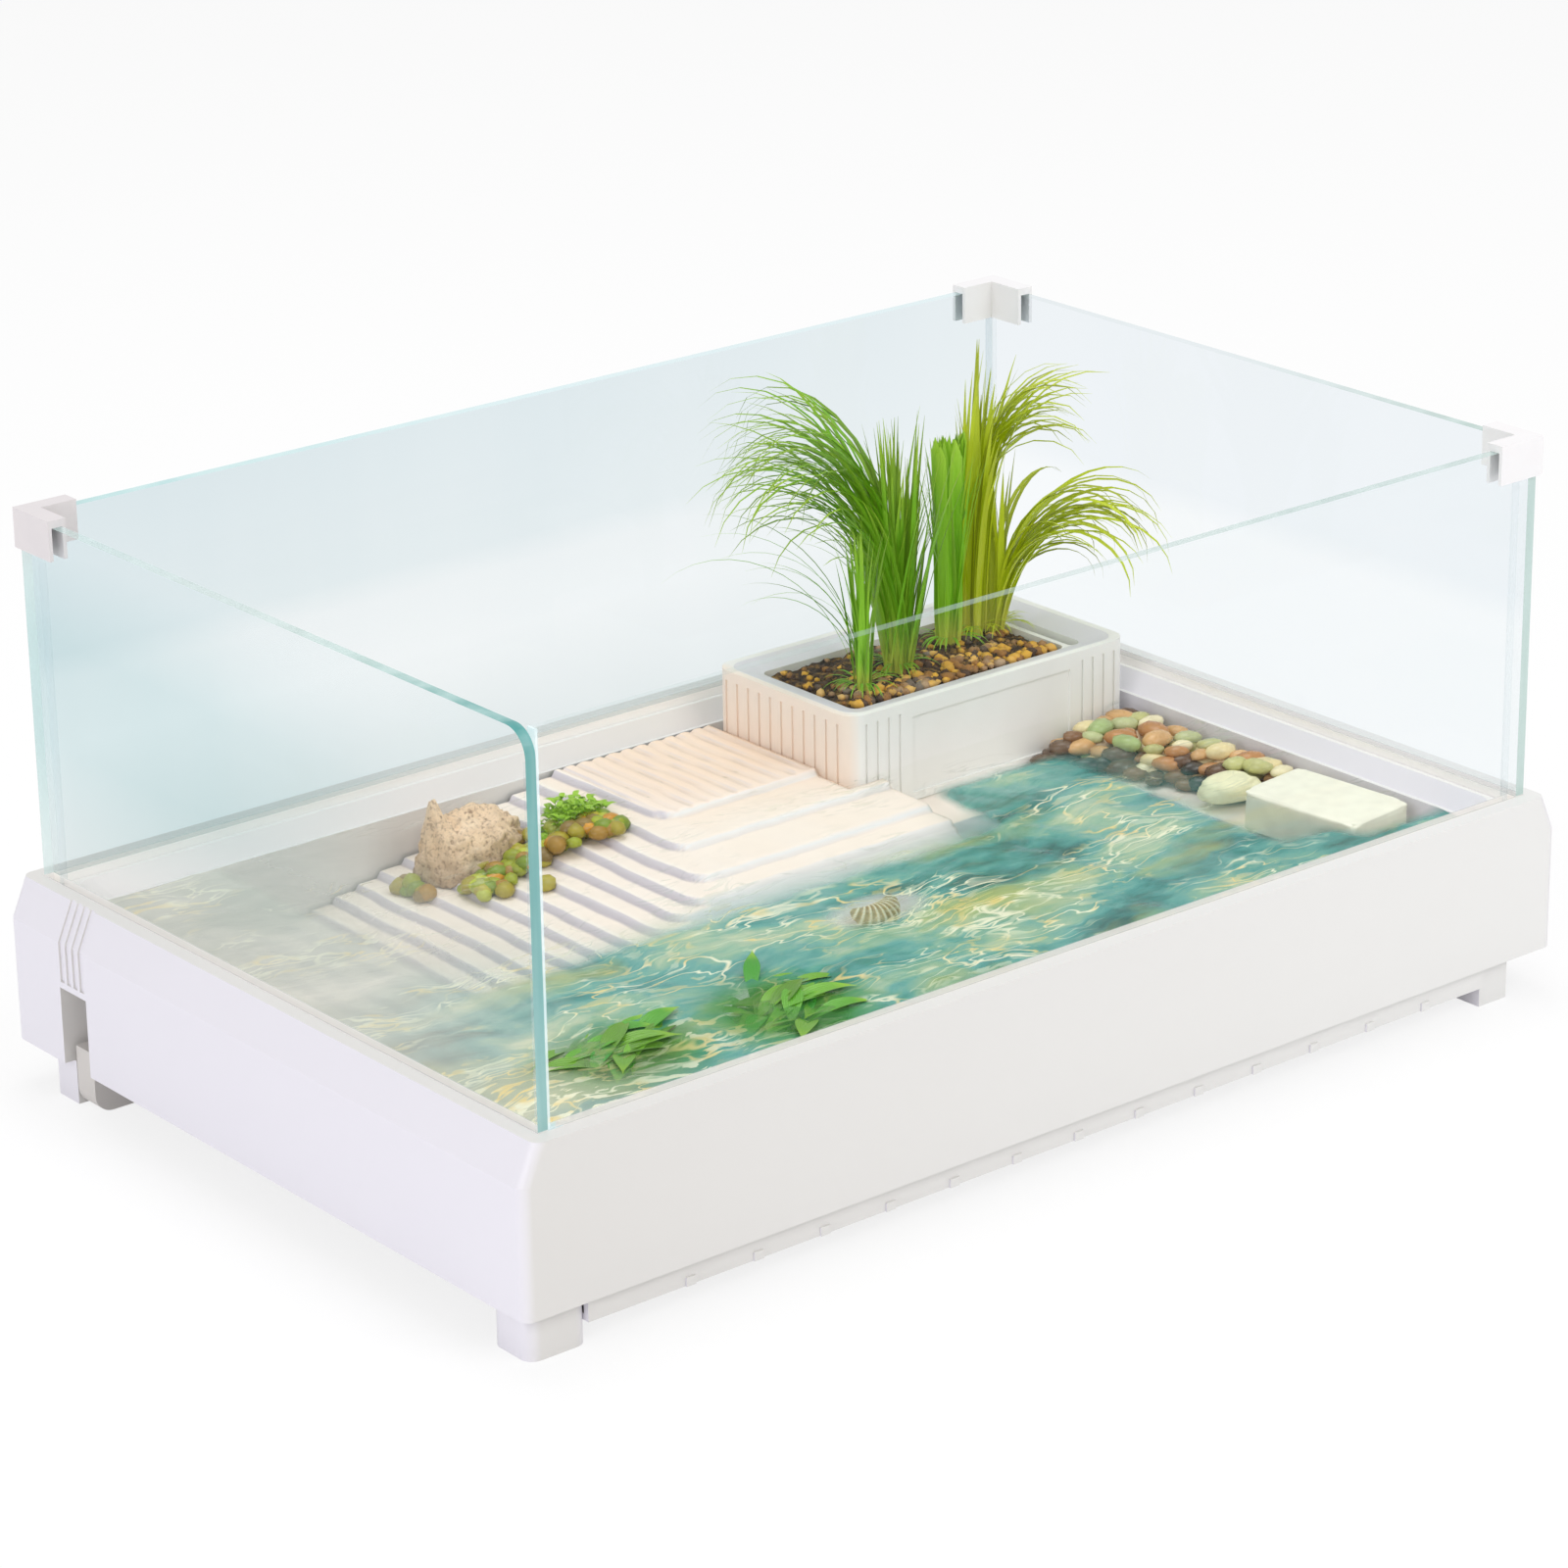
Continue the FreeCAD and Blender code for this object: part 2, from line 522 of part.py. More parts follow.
def make_planter():
    """The planter: a deep tray with a sloping rim, a divider, fluted sides and a recessed front panel."""
    body = new_body("planter_body")
    raise_block(body, "tray", PLANTER_X, PLANTER_Y, ("shelf_top", "planter_top"), "planter_corner")
    mouth = [grown(stretch, "-planter_rim") for stretch in (PLANTER_X, PLANTER_Y)]
    throat = [grown(stretch, f"-{PLANTER_IN}") for stretch in (PLANTER_X, PLANTER_Y)]
    loft(body, "rim_slope", "SubtractiveLoft", (*throat, "planter_top - slope_depth", "planter_corner / 2"),
         (*mouth, "planter_top", "planter_corner"))
    base = "shelf_top + planter_base"
    sink_block(body, "soil_space", SOIL_X, SOIL_Y, (base, "planter_top - slope_depth"), "planter_corner / 2")
    cell_x = (f"{SOIL_X[1]} + divider_thick", throat[0][1])
    sink_block(body, "end_space", cell_x, SOIL_Y, (base, "planter_top - slope_depth"), "planter_corner / 4")

    level = ("shelf_top", "planter_top - groove_margin")
    (left, right), (front, back) = PLANTER_X, PLANTER_Y
    side_run = "side_groove_pitch * (side_groove_count - 1)"
    middle = across(f"planter_front + planter_width / 2 - {side_run} / 2")
    side_y = (f"{middle} - groove_width / 2", f"{middle} + groove_width / 2")
    side = sink_block(body, "side_groove", (f"{left} - 1", f"{left} + groove_depth"), side_y, level)
    pattern(body, "side_grooves", [side], "Y_Axis", across("side_groove_pitch"), "side_groove_count")
    front_y = (f"{front} - 1", f"{front} + groove_depth")
    run = "front_groove_pitch * (front_groove_count - 1)"
    starts = (("left", f"{left} + planter_corner"), ("right", f"{right} - planter_corner - {run}"))
    for where, start in starts:
        groove_x = (f"{start} - groove_width / 2", f"{start} + groove_width / 2")
        groove = sink_block(body, f"front_groove_{where}", groove_x, front_y, level)
        pattern(body, f"front_grooves_{where}", [groove], "X_Axis", "front_groove_pitch",
                "front_groove_count")
    panel_x = (f"{left} + planter_corner + {run} + panel_margin",
               f"{right} - planter_corner - {run} - panel_margin")
    sink_block(body, "panel", panel_x, (f"{front} - 1", f"{front} + panel_depth"),
               ("shelf_top + panel_margin / 2", "planter_top - panel_margin"))
    return body


def make_soil():
    """Soil that fills the planter up to a low crown."""
    body = new_body("soil_body")
    low = [grown(stretch, "-soil_clear") for stretch in (SOIL_X, SOIL_Y)]
    high = [grown(stretch, "-soil_shoulder") for stretch in low]
    corner = "planter_corner / 2"
    raise_block(body, "soil_fill", *low, ("shelf_top + planter_base", SOIL_TOP), corner)
    loft(body, "soil_crowned", "AdditiveLoft", (*low, SOIL_TOP, corner),
         (*high, f"{SOIL_TOP} + soil_crown", corner))
    return body


def ramp_steps():
    """Each step of the ramp as its left edge, front edge and top, from the landing down."""
    steps = []
    front = "landing_front"
    for step in range(int(SIZES["ridge_count"])):
        if step:
            fall = "front_step_wide" if step < 3 else "front_step_last" if step == 3 else "front_pitch"
            front = f"{front} - {fall}"
        left = along(f"landing_left - {step} * ridge_pitch")
        steps.append((left, across(front), f"landing_top - {step} * ridge_drop"))
    return steps


def make_ramp():
    """A hollow moulding: stepped ridges round a landing, then a shelf under the planter and the pebbles."""
    back = f"{BASIN_SIDE} - ramp_clear"
    right = f"{BASIN_END} - ramp_clear"
    beside_planter, before_planter = f"{PLANTER_X[0]} - ramp_clear", f"{PLANTER_Y[0]} - ramp_clear"
    blocks = []
    for step, (left, front, top) in enumerate(ramp_steps()):
        blocks.append(((left, beside_planter), (front, back), top))
        if step > 1:
            blocks.append(((left, along("apron_right")), (front, before_planter), top))
    for shelf_left, shelf_front, top in (("landing_left", "shelf_front", "shelf_top"),
                                         ("beach_left", "beach_front", "shelf_top"),
                                         ("beach_step_left", "beach_step_front", "beach_step_top")):
        blocks.append(((along(shelf_left), right), (across(shelf_front), back), top))
    outer = []
    inner = []
    for index, (x, y, top) in enumerate(blocks):
        outer.append(box(f"step_{index}", x, y, ("basin_floor", top)))
        inner.append(box(f"hollow_{index}", grown(x, "-ramp_wall"), grown(y, "-ramp_wall"),
                         ("basin_floor - 1", f"{top} - ramp_wall")))
    corners = [(number(left), number(front)) for left, front, _ in ramp_steps()]

    def step_corner(edge):
        spot = edge.BoundBox.Center
        return upright(edge) and any(abs(spot.x - x) + abs(spot.y - y) < 0.01 for x, y in corners)

    corner_x, corner_y = number(right), number(back)

    def basin_corner(edge):
        spot = edge.BoundBox.Center
        return upright(edge) and abs(spot.x - corner_x) + abs(spot.y - corner_y) < 0.01

    steps = rounded("steps_rounded", joined("steps", outer), "ramp_corner", step_corner)
    steps = rounded("corner_rounded", steps, "basin_corner", basin_corner)
    return less("ramp_shell", steps, joined("ramp_hollow", inner))


def on_ramp(x, y, half):
    """The place of a stone, given half its thickness, on the ridges' edges, and the turn along them."""
    slope = number(f"ridge_drop / ({along('ridge_pitch')})")
    lean = FreeCAD.Rotation(Vector(0, 1, 0), -math.degrees(math.atan(slope)))
    rise = f"({x} - landing_left) * ridge_drop / ridge_pitch"
    height = f"landing_top + {rise} + ({half}) * {math.hypot(1, slope):.4f}"
    return (along(x), across(y), height), lean


def make_ramp_stones():
    """The rock on the ramp, the pebbles round it and the moss behind them."""
    spot, lean = on_ramp("rock_x", "rock_y", fitted("rock_high / 2"))
    low = stone("rock_body", fitted("rock_long"), fitted("rock_wide"), fitted("rock_high"), *spot, lean)
    spot, _ = on_ramp("rock_x - rock_long / 5", "rock_y + rock_wide / 6", fitted("rock_high * 0.84"))
    peak = stone("rock_peak", fitted("rock_long * 0.5"), fitted("rock_wide * 0.6"), fitted("rock_high"),
                 *spot)
    rock = joined("rock", [low, peak])

    pebbles = []
    nearest = "rock_y - rock_wide / 2 - small_pebble"
    for row, steps in enumerate(((2, 3, 4, 5, 8, 9), (2, 3, 4, 5, 6), (1, 2, 3, 4), (2, 3))):
        for step in steps:
            share = 0.85 + 0.14 * math.cos(5 * step + 2 * row)
            long, wide, thick = (fitted(f"small_pebble * {share * part:.3f}") for part in (1, 0.94, 0.9))
            pebbles.append(stone(f"small_pebble_{row}_{step}", long, wide, thick,
                                 along(f"landing_left - {step - 0.5} * ridge_pitch"),
                                 across(f"{nearest} - {row} * (small_pebble + stone_gap)"),
                                 f"landing_top - {step} * ridge_drop + {thick} / 2"))
    spot, lean = on_ramp("moss_x", "moss_y", fitted("moss_high / 2"))
    moss = stone("moss_dome", fitted("moss_wide"), fitted("moss_wide * 0.6"), fitted("moss_high"),
                 *spot, lean)
    return {"basking_rock": rock, "ramp_pebbles": group("small_pebbles", pebbles), "moss": moss}


def make_pebble_bed():
    """Pebbles in one layer on the shelf, in rows that fill the corner up to a slanting edge."""
    pitch = "(pebble_long + stone_gap)"
    right = f"{BASIN_END} - ramp_clear - stone_gap - {along('pebble_long / 2')}"
    front = f"{PLANTER_Y[0]} - ramp_clear - {across('pebble_long / 2')}"
    beds = {"pebbles_pale": [], "pebbles_dark": []}
    for row in range(int(SIZES["bed_rows"])):
        offset = 0.5 if row in (1, 3, 5) else 0
        for column in range(max(1, 4 - row // 2)):
            share = 0.86 + 0.12 * math.sin(3 * row + 5 * column)
            long, wide, thick = (fitted(f"{side} * {share:.3f}") for side in
                                 ("pebble_long", "pebble_wide", "pebble_thick"))
            colour = "pebbles_dark" if (row + 2 * column) % 3 == 0 else "pebbles_pale"
            turn = FreeCAD.Rotation(Vector(0, 0, 1), 40 * row + 70 * column)
            x = f"{right} - {along(f'{column + offset} * {pitch}')}"
            y = f"{front} - {across(f'{row * 0.866:.3f} * {pitch}')}"
            beds[colour].append(stone(f"pebble_{row}_{column}", long, wide, thick, x, y,
                                      f"shelf_top + {thick} / 2", turn))
    return {name: group(f"{name}_bed", pebbles) for name, pebbles in beds.items()}


def make_big_stones():
    """The white slab and the pale and grey stones at the right end, and the shell on the ramp's side."""
    slab = doc.addObject("Part::Box", "slab_block")
    for side, words in (("Length", "slab_width"), ("Width", "slab_length"), ("Height", "slab_thick")):
        slab.setExpression(side, bound(fitted(words)))
    turn = FreeCAD.Rotation(Vector(0, 0, 1), 5)
    place(slab, f"{along('slab_x')} - {fitted('slab_width / 2')}",
          f"{across('slab_y')} - {fitted('slab_length / 2')}", "shelf_top", turn)
    slab = rounded("slab_rounded", slab, "slab_round", lambda edge: edge.BoundBox.ZMin > number("shelf_top"))
    stones = {"white_slab": slab}
    for name, level in (("pale_stone", "shelf_top"), ("grey_stone", "beach_step_top")):
        long, wide, high = (fitted(f"{name}_{side}") for side in ("long", "wide", "high"))
        stones[name] = stone(f"{name}_ellipsoid", long, wide, high, along(f"{name}_x"), across(f"{name}_y"),
                             f"{level} + {high} / 2")

    shell = doc.addObject("Part::Torus", "shell_arc")
    shell.setExpression("Radius1", bound(fitted("shell_radius")))
    shell.setExpression("Radius2", bound(fitted("shell_thick")))
    shell.Angle3 = 170
    steepness = number(f"ridge_drop / ({across('front_pitch')})")
    tilt = FreeCAD.Rotation(Vector(1, 0, 0), math.degrees(math.atan(steepness)))
    edge_y = "(landing_front - 2 * front_step_wide - front_step_last)"
    height = (f"landing_top - 3 * ridge_drop + (shell_y - {edge_y}) * ridge_drop / front_pitch"
              f" + {fitted('shell_thick')} * {math.hypot(1, steepness):.4f}")
    place(shell, along("shell_x"), across("shell_y"), height,
          tilt.multiply(FreeCAD.Rotation(Vector(0, 0, 1), 175)))
    stones["shell"] = shell
    return stones


def blade(foot, heading, length, bend, width):
    """A tapering grass blade that leaves its foot upright and bends over along a circular arc."""
    stations = 7
    thick = number("blade_thick")
    radius = length / bend
    out = Vector(math.cos(heading), math.sin(heading), 0)
    sideways = Vector(-math.sin(heading), math.cos(heading), 0)
    wires = []
    for station in range(stations):
        share = station / (stations - 1)
        angle = bend * share
        centre = foot + out * (radius * (1 - math.cos(angle))) + Vector(0, 0, radius * math.sin(angle))
        face = out * math.cos(angle) - Vector(0, 0, math.sin(angle))
        half = sideways * (width / 2 * (1 - 0.85 * share ** 2))
        skin = face * (thick / 2 * (1 - 0.5 * share))
        corners = [centre - half - skin, centre + half - skin, centre + half + skin, centre - half + skin]
        wires.append(Part.makePolygon(corners + corners[:1]))
    return Part.makeLoft(wires, True, True)


def clump(name, middle, rings, length, width):
    """Blades in rings round a middle. Each ring has a radius, count, first heading, bend and scale."""
    blades = []
    for radius, count, first, bend, scale in rings:
        for step in range(count):
            heading = math.radians(first + 360 / count * step)
            foot = middle + Vector(math.cos(heading), math.sin(heading), 0) * radius
            vary = 0.9 + 0.1 * math.cos(7 * step + first)
            blades.append(blade(foot, heading, length * scale * vary, bend * (2 - vary), width))
    solid = doc.addObject("Part::Feature", name)
    solid.Shape = Part.makeCompound(blades)
    return solid


def make_grass():
    """Clumps of grass in a row across the soil, whose blades fan out to both sides without crossing."""
    ground = number(f"{SOIL_TOP} + soil_crown + soil_gap")
    start, stop = (
        Vector(number(along(f"planter_left + {x}")), number(across(f"planter_front + {y}")), ground)
        for x, y in (("row_start", "row_front"), ("row_stop", "row_back"))
    )
    row = math.degrees(math.atan2(stop.y - start.y, stop.x - start.x))
    length, width = number(fitted("grass_length")), number(fitted("blade_width"))
    bends = ((0.3, 0.88), (0.8, 0.76), (1.3, 0.6))
    in_clump, fan = 8, 100
    last = 5 * in_clump - 1
    grass = {}
    for index in range(5):
        blades = []
        for step in range(in_clump):
            place_in_row = index * in_clump + step
            share = place_in_row / last
            side = -1 if step % 2 else 1
            heading = math.radians(row + side * (90 + fan * (0.5 - share)))
            out = Vector(math.cos(heading), math.sin(heading), 0)
            foot = start + (stop - start) * share + out * width
            bend, scale = bends[(place_in_row // 2) % 3]
            tall = 1 - 0.22 * abs(math.cos(2.5 * place_in_row))
            blades.append(blade(foot, heading, length * scale * tall, bend, width))
        solid = doc.addObject("Part::Feature", f"grass_{index + 1}_blades")
        solid.Shape = Part.makeCompound(blades)
        grass[f"grass_{index + 1}"] = solid
    return grass


def make_grit():
    """Small stones on the soil's edge."""
    grit = []
    for index in range(12):
        share = index / 11
        run = f"({SOIL_X[1]}) - ({SOIL_X[0]}) - soil_shoulder"
        x = f"({SOIL_X[0]}) + soil_shoulder / 2 + {share:.3f} * ({run})"
        y = f"({SOIL_Y[0]}) + soil_shoulder / 2 + {math.sin(9 * index):.3f}"
        z = f"{SOIL_TOP} + soil_crown / 2 + grit_size * 0.35 + soil_gap"
        grit.append(stone(f"grit_{index}", "grit_size", "grit_size * 0.8", "grit_size * 0.7", x, y, z))
    return group("grit", grit)


def make_water_plants():
    """Two leafy plants that stand on the basin's floor along the front."""
    plants = {}
    length, width = number(fitted("leaf_length")), number(fitted("leaf_width"))
    ground = number("basin_floor + soil_gap")
    for name, x, y, first in (("water_plant_left", -188, -112, 0), ("water_plant_right", -104, -118, 40)):
        rings = ((width * 0.5, 3, first, 0.5, 1.0), (width * 1.1, 6, first, 1.2, 0.9))
        middle = Vector(number(along(x)), number(across(y)), ground)
        plants[name] = clump(name, middle, rings, length, width)
    return plants


pieces = {
    "tub": make_tub(),
    **make_panes(),
    **make_seals(),
    **make_clips(),
    **make_drain(),
    "ramp": make_ramp(),
    "planter_box": make_planter(),
    "planter_soil": make_soil(),
    "planter_gravel": make_grit(),
    **make_grass(),
    **make_ramp_stones(),
    **make_pebble_bed(),
    **make_big_stones(),
    **make_water_plants(),
}

doc.recompute()
failed = [item.Name for item in doc.Objects if "Invalid" in item.State or "Error" in item.State]
if failed:
    raise ValueError(f"failed: {failed}")
os.makedirs("parts", exist_ok=True)
for name, piece in pieces.items():
    piece.Label = name
    shape = piece.Shape
    if shape.isNull() or not shape.isValid() or not shape.Solids:
        raise ValueError(f"{name} has no valid solid")
    shape.exportStep(f"parts/{name}.step")
    print(f"{name}: {len(shape.Solids)} solids, {shape.Volume / 1000:.1f} cm3")
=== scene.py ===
import math
import random

import bmesh
import bpy
import numpy as np
from mathutils import Matrix, Vector, noise


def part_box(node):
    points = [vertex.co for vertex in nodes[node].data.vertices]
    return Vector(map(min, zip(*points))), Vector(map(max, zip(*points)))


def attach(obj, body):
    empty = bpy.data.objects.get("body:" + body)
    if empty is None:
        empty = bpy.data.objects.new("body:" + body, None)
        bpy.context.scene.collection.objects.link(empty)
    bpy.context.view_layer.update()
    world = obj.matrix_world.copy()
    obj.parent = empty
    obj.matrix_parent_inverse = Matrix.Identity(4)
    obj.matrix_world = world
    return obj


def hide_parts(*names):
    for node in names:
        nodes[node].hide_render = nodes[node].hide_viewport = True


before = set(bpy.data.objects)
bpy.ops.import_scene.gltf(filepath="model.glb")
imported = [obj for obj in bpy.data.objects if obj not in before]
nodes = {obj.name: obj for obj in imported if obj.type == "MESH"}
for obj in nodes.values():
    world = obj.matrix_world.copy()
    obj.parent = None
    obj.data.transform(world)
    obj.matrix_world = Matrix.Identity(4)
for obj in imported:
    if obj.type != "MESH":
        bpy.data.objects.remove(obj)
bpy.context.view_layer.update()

# Looks for the turtle tank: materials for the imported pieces, modelled pieces in place of the plain ramp,
# soil, grass, stones and plants, and the water. Metres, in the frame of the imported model.

MM = 0.001


def corners(node):
    """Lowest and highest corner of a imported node."""
    low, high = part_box(node)
    return Vector(low), Vector(high)


# Sizes that several pieces share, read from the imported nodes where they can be.
RAMP_LOW, RAMP_HIGH = corners("ramp")
PLANTER_LOW, PLANTER_HIGH = corners("planter_box")
SOIL_LOW, SOIL_HIGH = corners("planter_soil")
TUB_LOW, TUB_HIGH = corners("tub")
PANE_LOW, PANE_HIGH = corners("pane_left")
BASIN_FLOOR = RAMP_LOW.z
WATER_LEVEL = TUB_HIGH.z - 13 * MM
RIGHT_PANE = corners("pane_right")[0].x - 1.5 * MM
BACK_PANE = corners("pane_back")[0].y - 1.5 * MM
WATER_END, WATER_SIDE = TUB_HIGH.x - 32.3 * MM, TUB_HIGH.y - 24.9 * MM

# The ramp's own terraces: the landing, the ridges to its left and the steps to its front.
LANDING = RAMP_HIGH.z
LANDING_LEFT, LANDING_FRONT = -12 * MM, 84 * MM
RIDGES, RIDGE_PITCH, RIDGE_DROP, RIDGE_BEND = 16, 13 * MM, 3.1 * MM, 9 * MM
PLEAT_PITCH, PLEAT_DEPTH = 8.6 * MM, 1.5 * MM
WIDE_STEP, LAST_STEP, NARROW_STEP = 30 * MM, 16 * MM, 3.5 * MM
SHELF, LOW_SHELF = PLANTER_LOW.z, PLANTER_LOW.z - 16 * MM
SHELF_FRONT, APRON_RIGHT = 22 * MM, 104 * MM
BEACH_LEFT, BEACH_FRONT = 214 * MM, -150 * MM
LOW_LEFT, LOW_FRONT = 180 * MM, -134 * MM

# How many stones, leaves and roots the heaps and tufts hold.
CLODS, RAMP_PEBBLES, MOSS_LEAVES, ROOTS = 420, 120, 260, 30


# Materials.
class Shader:
    """One material and the nodes that feed it."""

    def __init__(self, name):
        self.material = bpy.data.materials.new(name)
        self.material.use_nodes = True
        self.tree = self.material.node_tree
        self.surface = self.tree.nodes["Principled BSDF"]
        self.output = self.tree.nodes["Material Output"]
        self.place = self.add("TexCoord").outputs["Object"]
        self.x, self.y, self.z = self.split(self.place)
        self.geometry = self.add("NewGeometry").outputs
        self.normal = self.split(self.geometry["Normal"])

    def set(self, node, socket, value):
        """Gives a socket a constant or links another socket to it."""
        if isinstance(value, bpy.types.NodeSocket):
            self.tree.links.new(value, node.inputs[socket])
        elif isinstance(value, tuple) and len(value) == 3 and node.inputs[socket].type == "RGBA":
            node.inputs[socket].default_value = (*value, 1)
        else:
            node.inputs[socket].default_value = value

    def add(self, kind, settings=None, **sockets):
        """A node with its settings and its sockets; in a socket's name, _ stands for a blank."""
        node = self.tree.nodes.new("ShaderNode" + kind)
        for key, value in (settings or {}).items():
            setattr(node, key, value)
        for key, value in sockets.items():
            self.set(node, int(key[1:]) if key[1:].isdigit() else key.replace("_", " "), value)
        return node

    def math(self, operation, first, second=0.0, clamp=False):
        """The output of one math node."""
        settings = {"operation": operation, "use_clamp": clamp}
        return self.add("Math", settings, s0=first, s1=second).outputs[0]

    def times(self, first, second):
        """The product of two values."""
        return self.math("MULTIPLY", first, second)

    def noise(self, scale, detail=3.0, roughness=0.5, stretch=None, place=None):
        """Noise between 0 and 1, on the piece's own coordinates unless another place is given."""
        place = place or self.place
        if stretch:
            place = self.add("VectorMath", {"operation": "MULTIPLY"}, s0=place, s1=stretch).outputs[0]
        return self.add("TexNoise", Vector=place, Scale=scale, Detail=detail,
                        Roughness=roughness).outputs["Fac"]

    def ramp(self, factor, *stops):
        """A colour ramp through (position, colour) stops."""
        node = self.add("ValToRGB", Fac=factor)
        elements = node.color_ramp.elements
        while len(elements) < len(stops):
            elements.new(1)
        for element, (position, colour) in zip(elements, stops):
            element.position = position
            element.color = (*colour, 1)
        return node.outputs["Color"]

    def range(self, value, low, high, to_low=0.0, to_high=1.0):
        """The value moved from one range to another, and kept inside it."""
        return self.add("MapRange", s0=value, s1=low, s2=high, s3=to_low, s4=to_high).outputs[0]

    def mix(self, factor, first, second):
        """Two colours mixed."""
        node = self.add("Mix", {"data_type": "RGBA"})
        for socket, value in ((0, factor), (6, first), (7, second)):
            self.set(node, socket, value)
        return node.outputs[2]

    def blend(self, share, first, second):
        """Two shaders blended."""
        return self.add("MixShader", s0=share, s1=first, s2=second).outputs[0]

    def split(self, vector):
        """The three parts of a vector."""
        return self.add("SeparateXYZ", Vector=vector).outputs

    def attribute(self, name, output="Fac"):
        """A mesh attribute."""
        return self.add("Attribute", {"attribute_name": name}).outputs[output]

    def bump(self, height, distance, strength=1.0):
        """Feeds the surface's normal from a height."""
        node = self.add("Bump", Height=height, Distance=distance, Strength=strength)
        self.set(self.surface, "Normal", node.outputs["Normal"])

    def lit_through(self, shader):
        """Makes a shader the surface, lets lamps shine through it, and returns the material."""
        shadow = self.add("LightPath").outputs["Is Shadow Ray"]
        open_way = self.add("BsdfTransparent", Color=(1, 1, 1)).outputs[0]
        self.set(self.output, "Surface", self.blend(shadow, shader, open_way))
        return self.material

    def finish(self, colour, roughness, **sockets):
        """Sets the surface's colour, roughness and other sockets, and returns the material."""
        self.set(self.surface, "Base Color", colour)
        self.set(self.surface, "Roughness", roughness)
        for key, value in sockets.items():
            self.set(self.surface, key.replace("_", " "), value)
        return self.material


def drain_plastic():
    """Grey-beige moulding: a faint drift of tone, a fine grain and uneven gloss."""
    look = Shader("drain_plastic")
    tone = look.mix(look.noise(9.0, 4.0), (0.66, 0.63, 0.60), (0.58, 0.55, 0.53))
    look.bump(look.noise(900.0, 2.0), 0.03 * MM, 0.35)
    return look.finish(tone, look.range(look.noise(30.0), 0.3, 0.7, 0.39, 0.53))


def clip_plastic():
    """Glossy clips with painted shade: darker and pinkish at the left, whiter at the right."""
    look = Shader("clip_plastic")
    # Painted shade: the clips grow darker and pinker towards the left.
    tone = look.mix(look.range(look.x, -200 * MM, 200 * MM), (0.72, 0.68, 0.69), (0.90, 0.89, 0.90))
    look.bump(look.noise(900.0, 2.0), 0.03 * MM, 0.3)
    patchy = look.range(look.noise(60.0), 0.3, 0.7, 0, 0.2)
    return look.finish(look.mix(patchy, tone, (0.86, 0.80, 0.79)), 0.3)


def tub_plastic():
    """White moulding with painted shade: lilac on its ends, warm grey at the left of its long sides, whiter
    at the right, and darker on its back wall inside the basin.
    """
    look = Shader("tub_plastic")
    # Painted shade: the long sides are warm grey at the left and whiter at the right.
    side = look.mix(look.range(look.x, TUB_LOW.x, TUB_HIGH.x), (0.705, 0.685, 0.660), (0.83, 0.825, 0.81))
    side = look.mix(look.range(look.noise(5.0, 3.0), 0.3, 0.7, 0, 0.25), side, (0.76, 0.75, 0.73))
    # Painted shade: the ends, which face left and right, are lilac.
    colour = look.mix(look.math("ABSOLUTE", look.normal["X"]), side, (0.78, 0.76, 0.82))
    # Painted shade: the back wall inside the basin is a darker warm grey.
    shaded_back_wall = look.times(look.range(look.normal["Y"], -0.2, -0.6), look.range(look.y, 150 * MM, 160 * MM))
    shaded_back_wall = look.times(shaded_back_wall, look.range(look.y, TUB_HIGH.y, 180 * MM))
    colour = look.mix(shaded_back_wall, colour, (0.76, 0.73, 0.71))
    look.bump(look.noise(1100.0, 2.0), 0.03 * MM, 0.3)
    return look.finish(colour, look.range(look.noise(25.0), 0.3, 0.7, 0.34, 0.46), Coat_Weight=0.08)


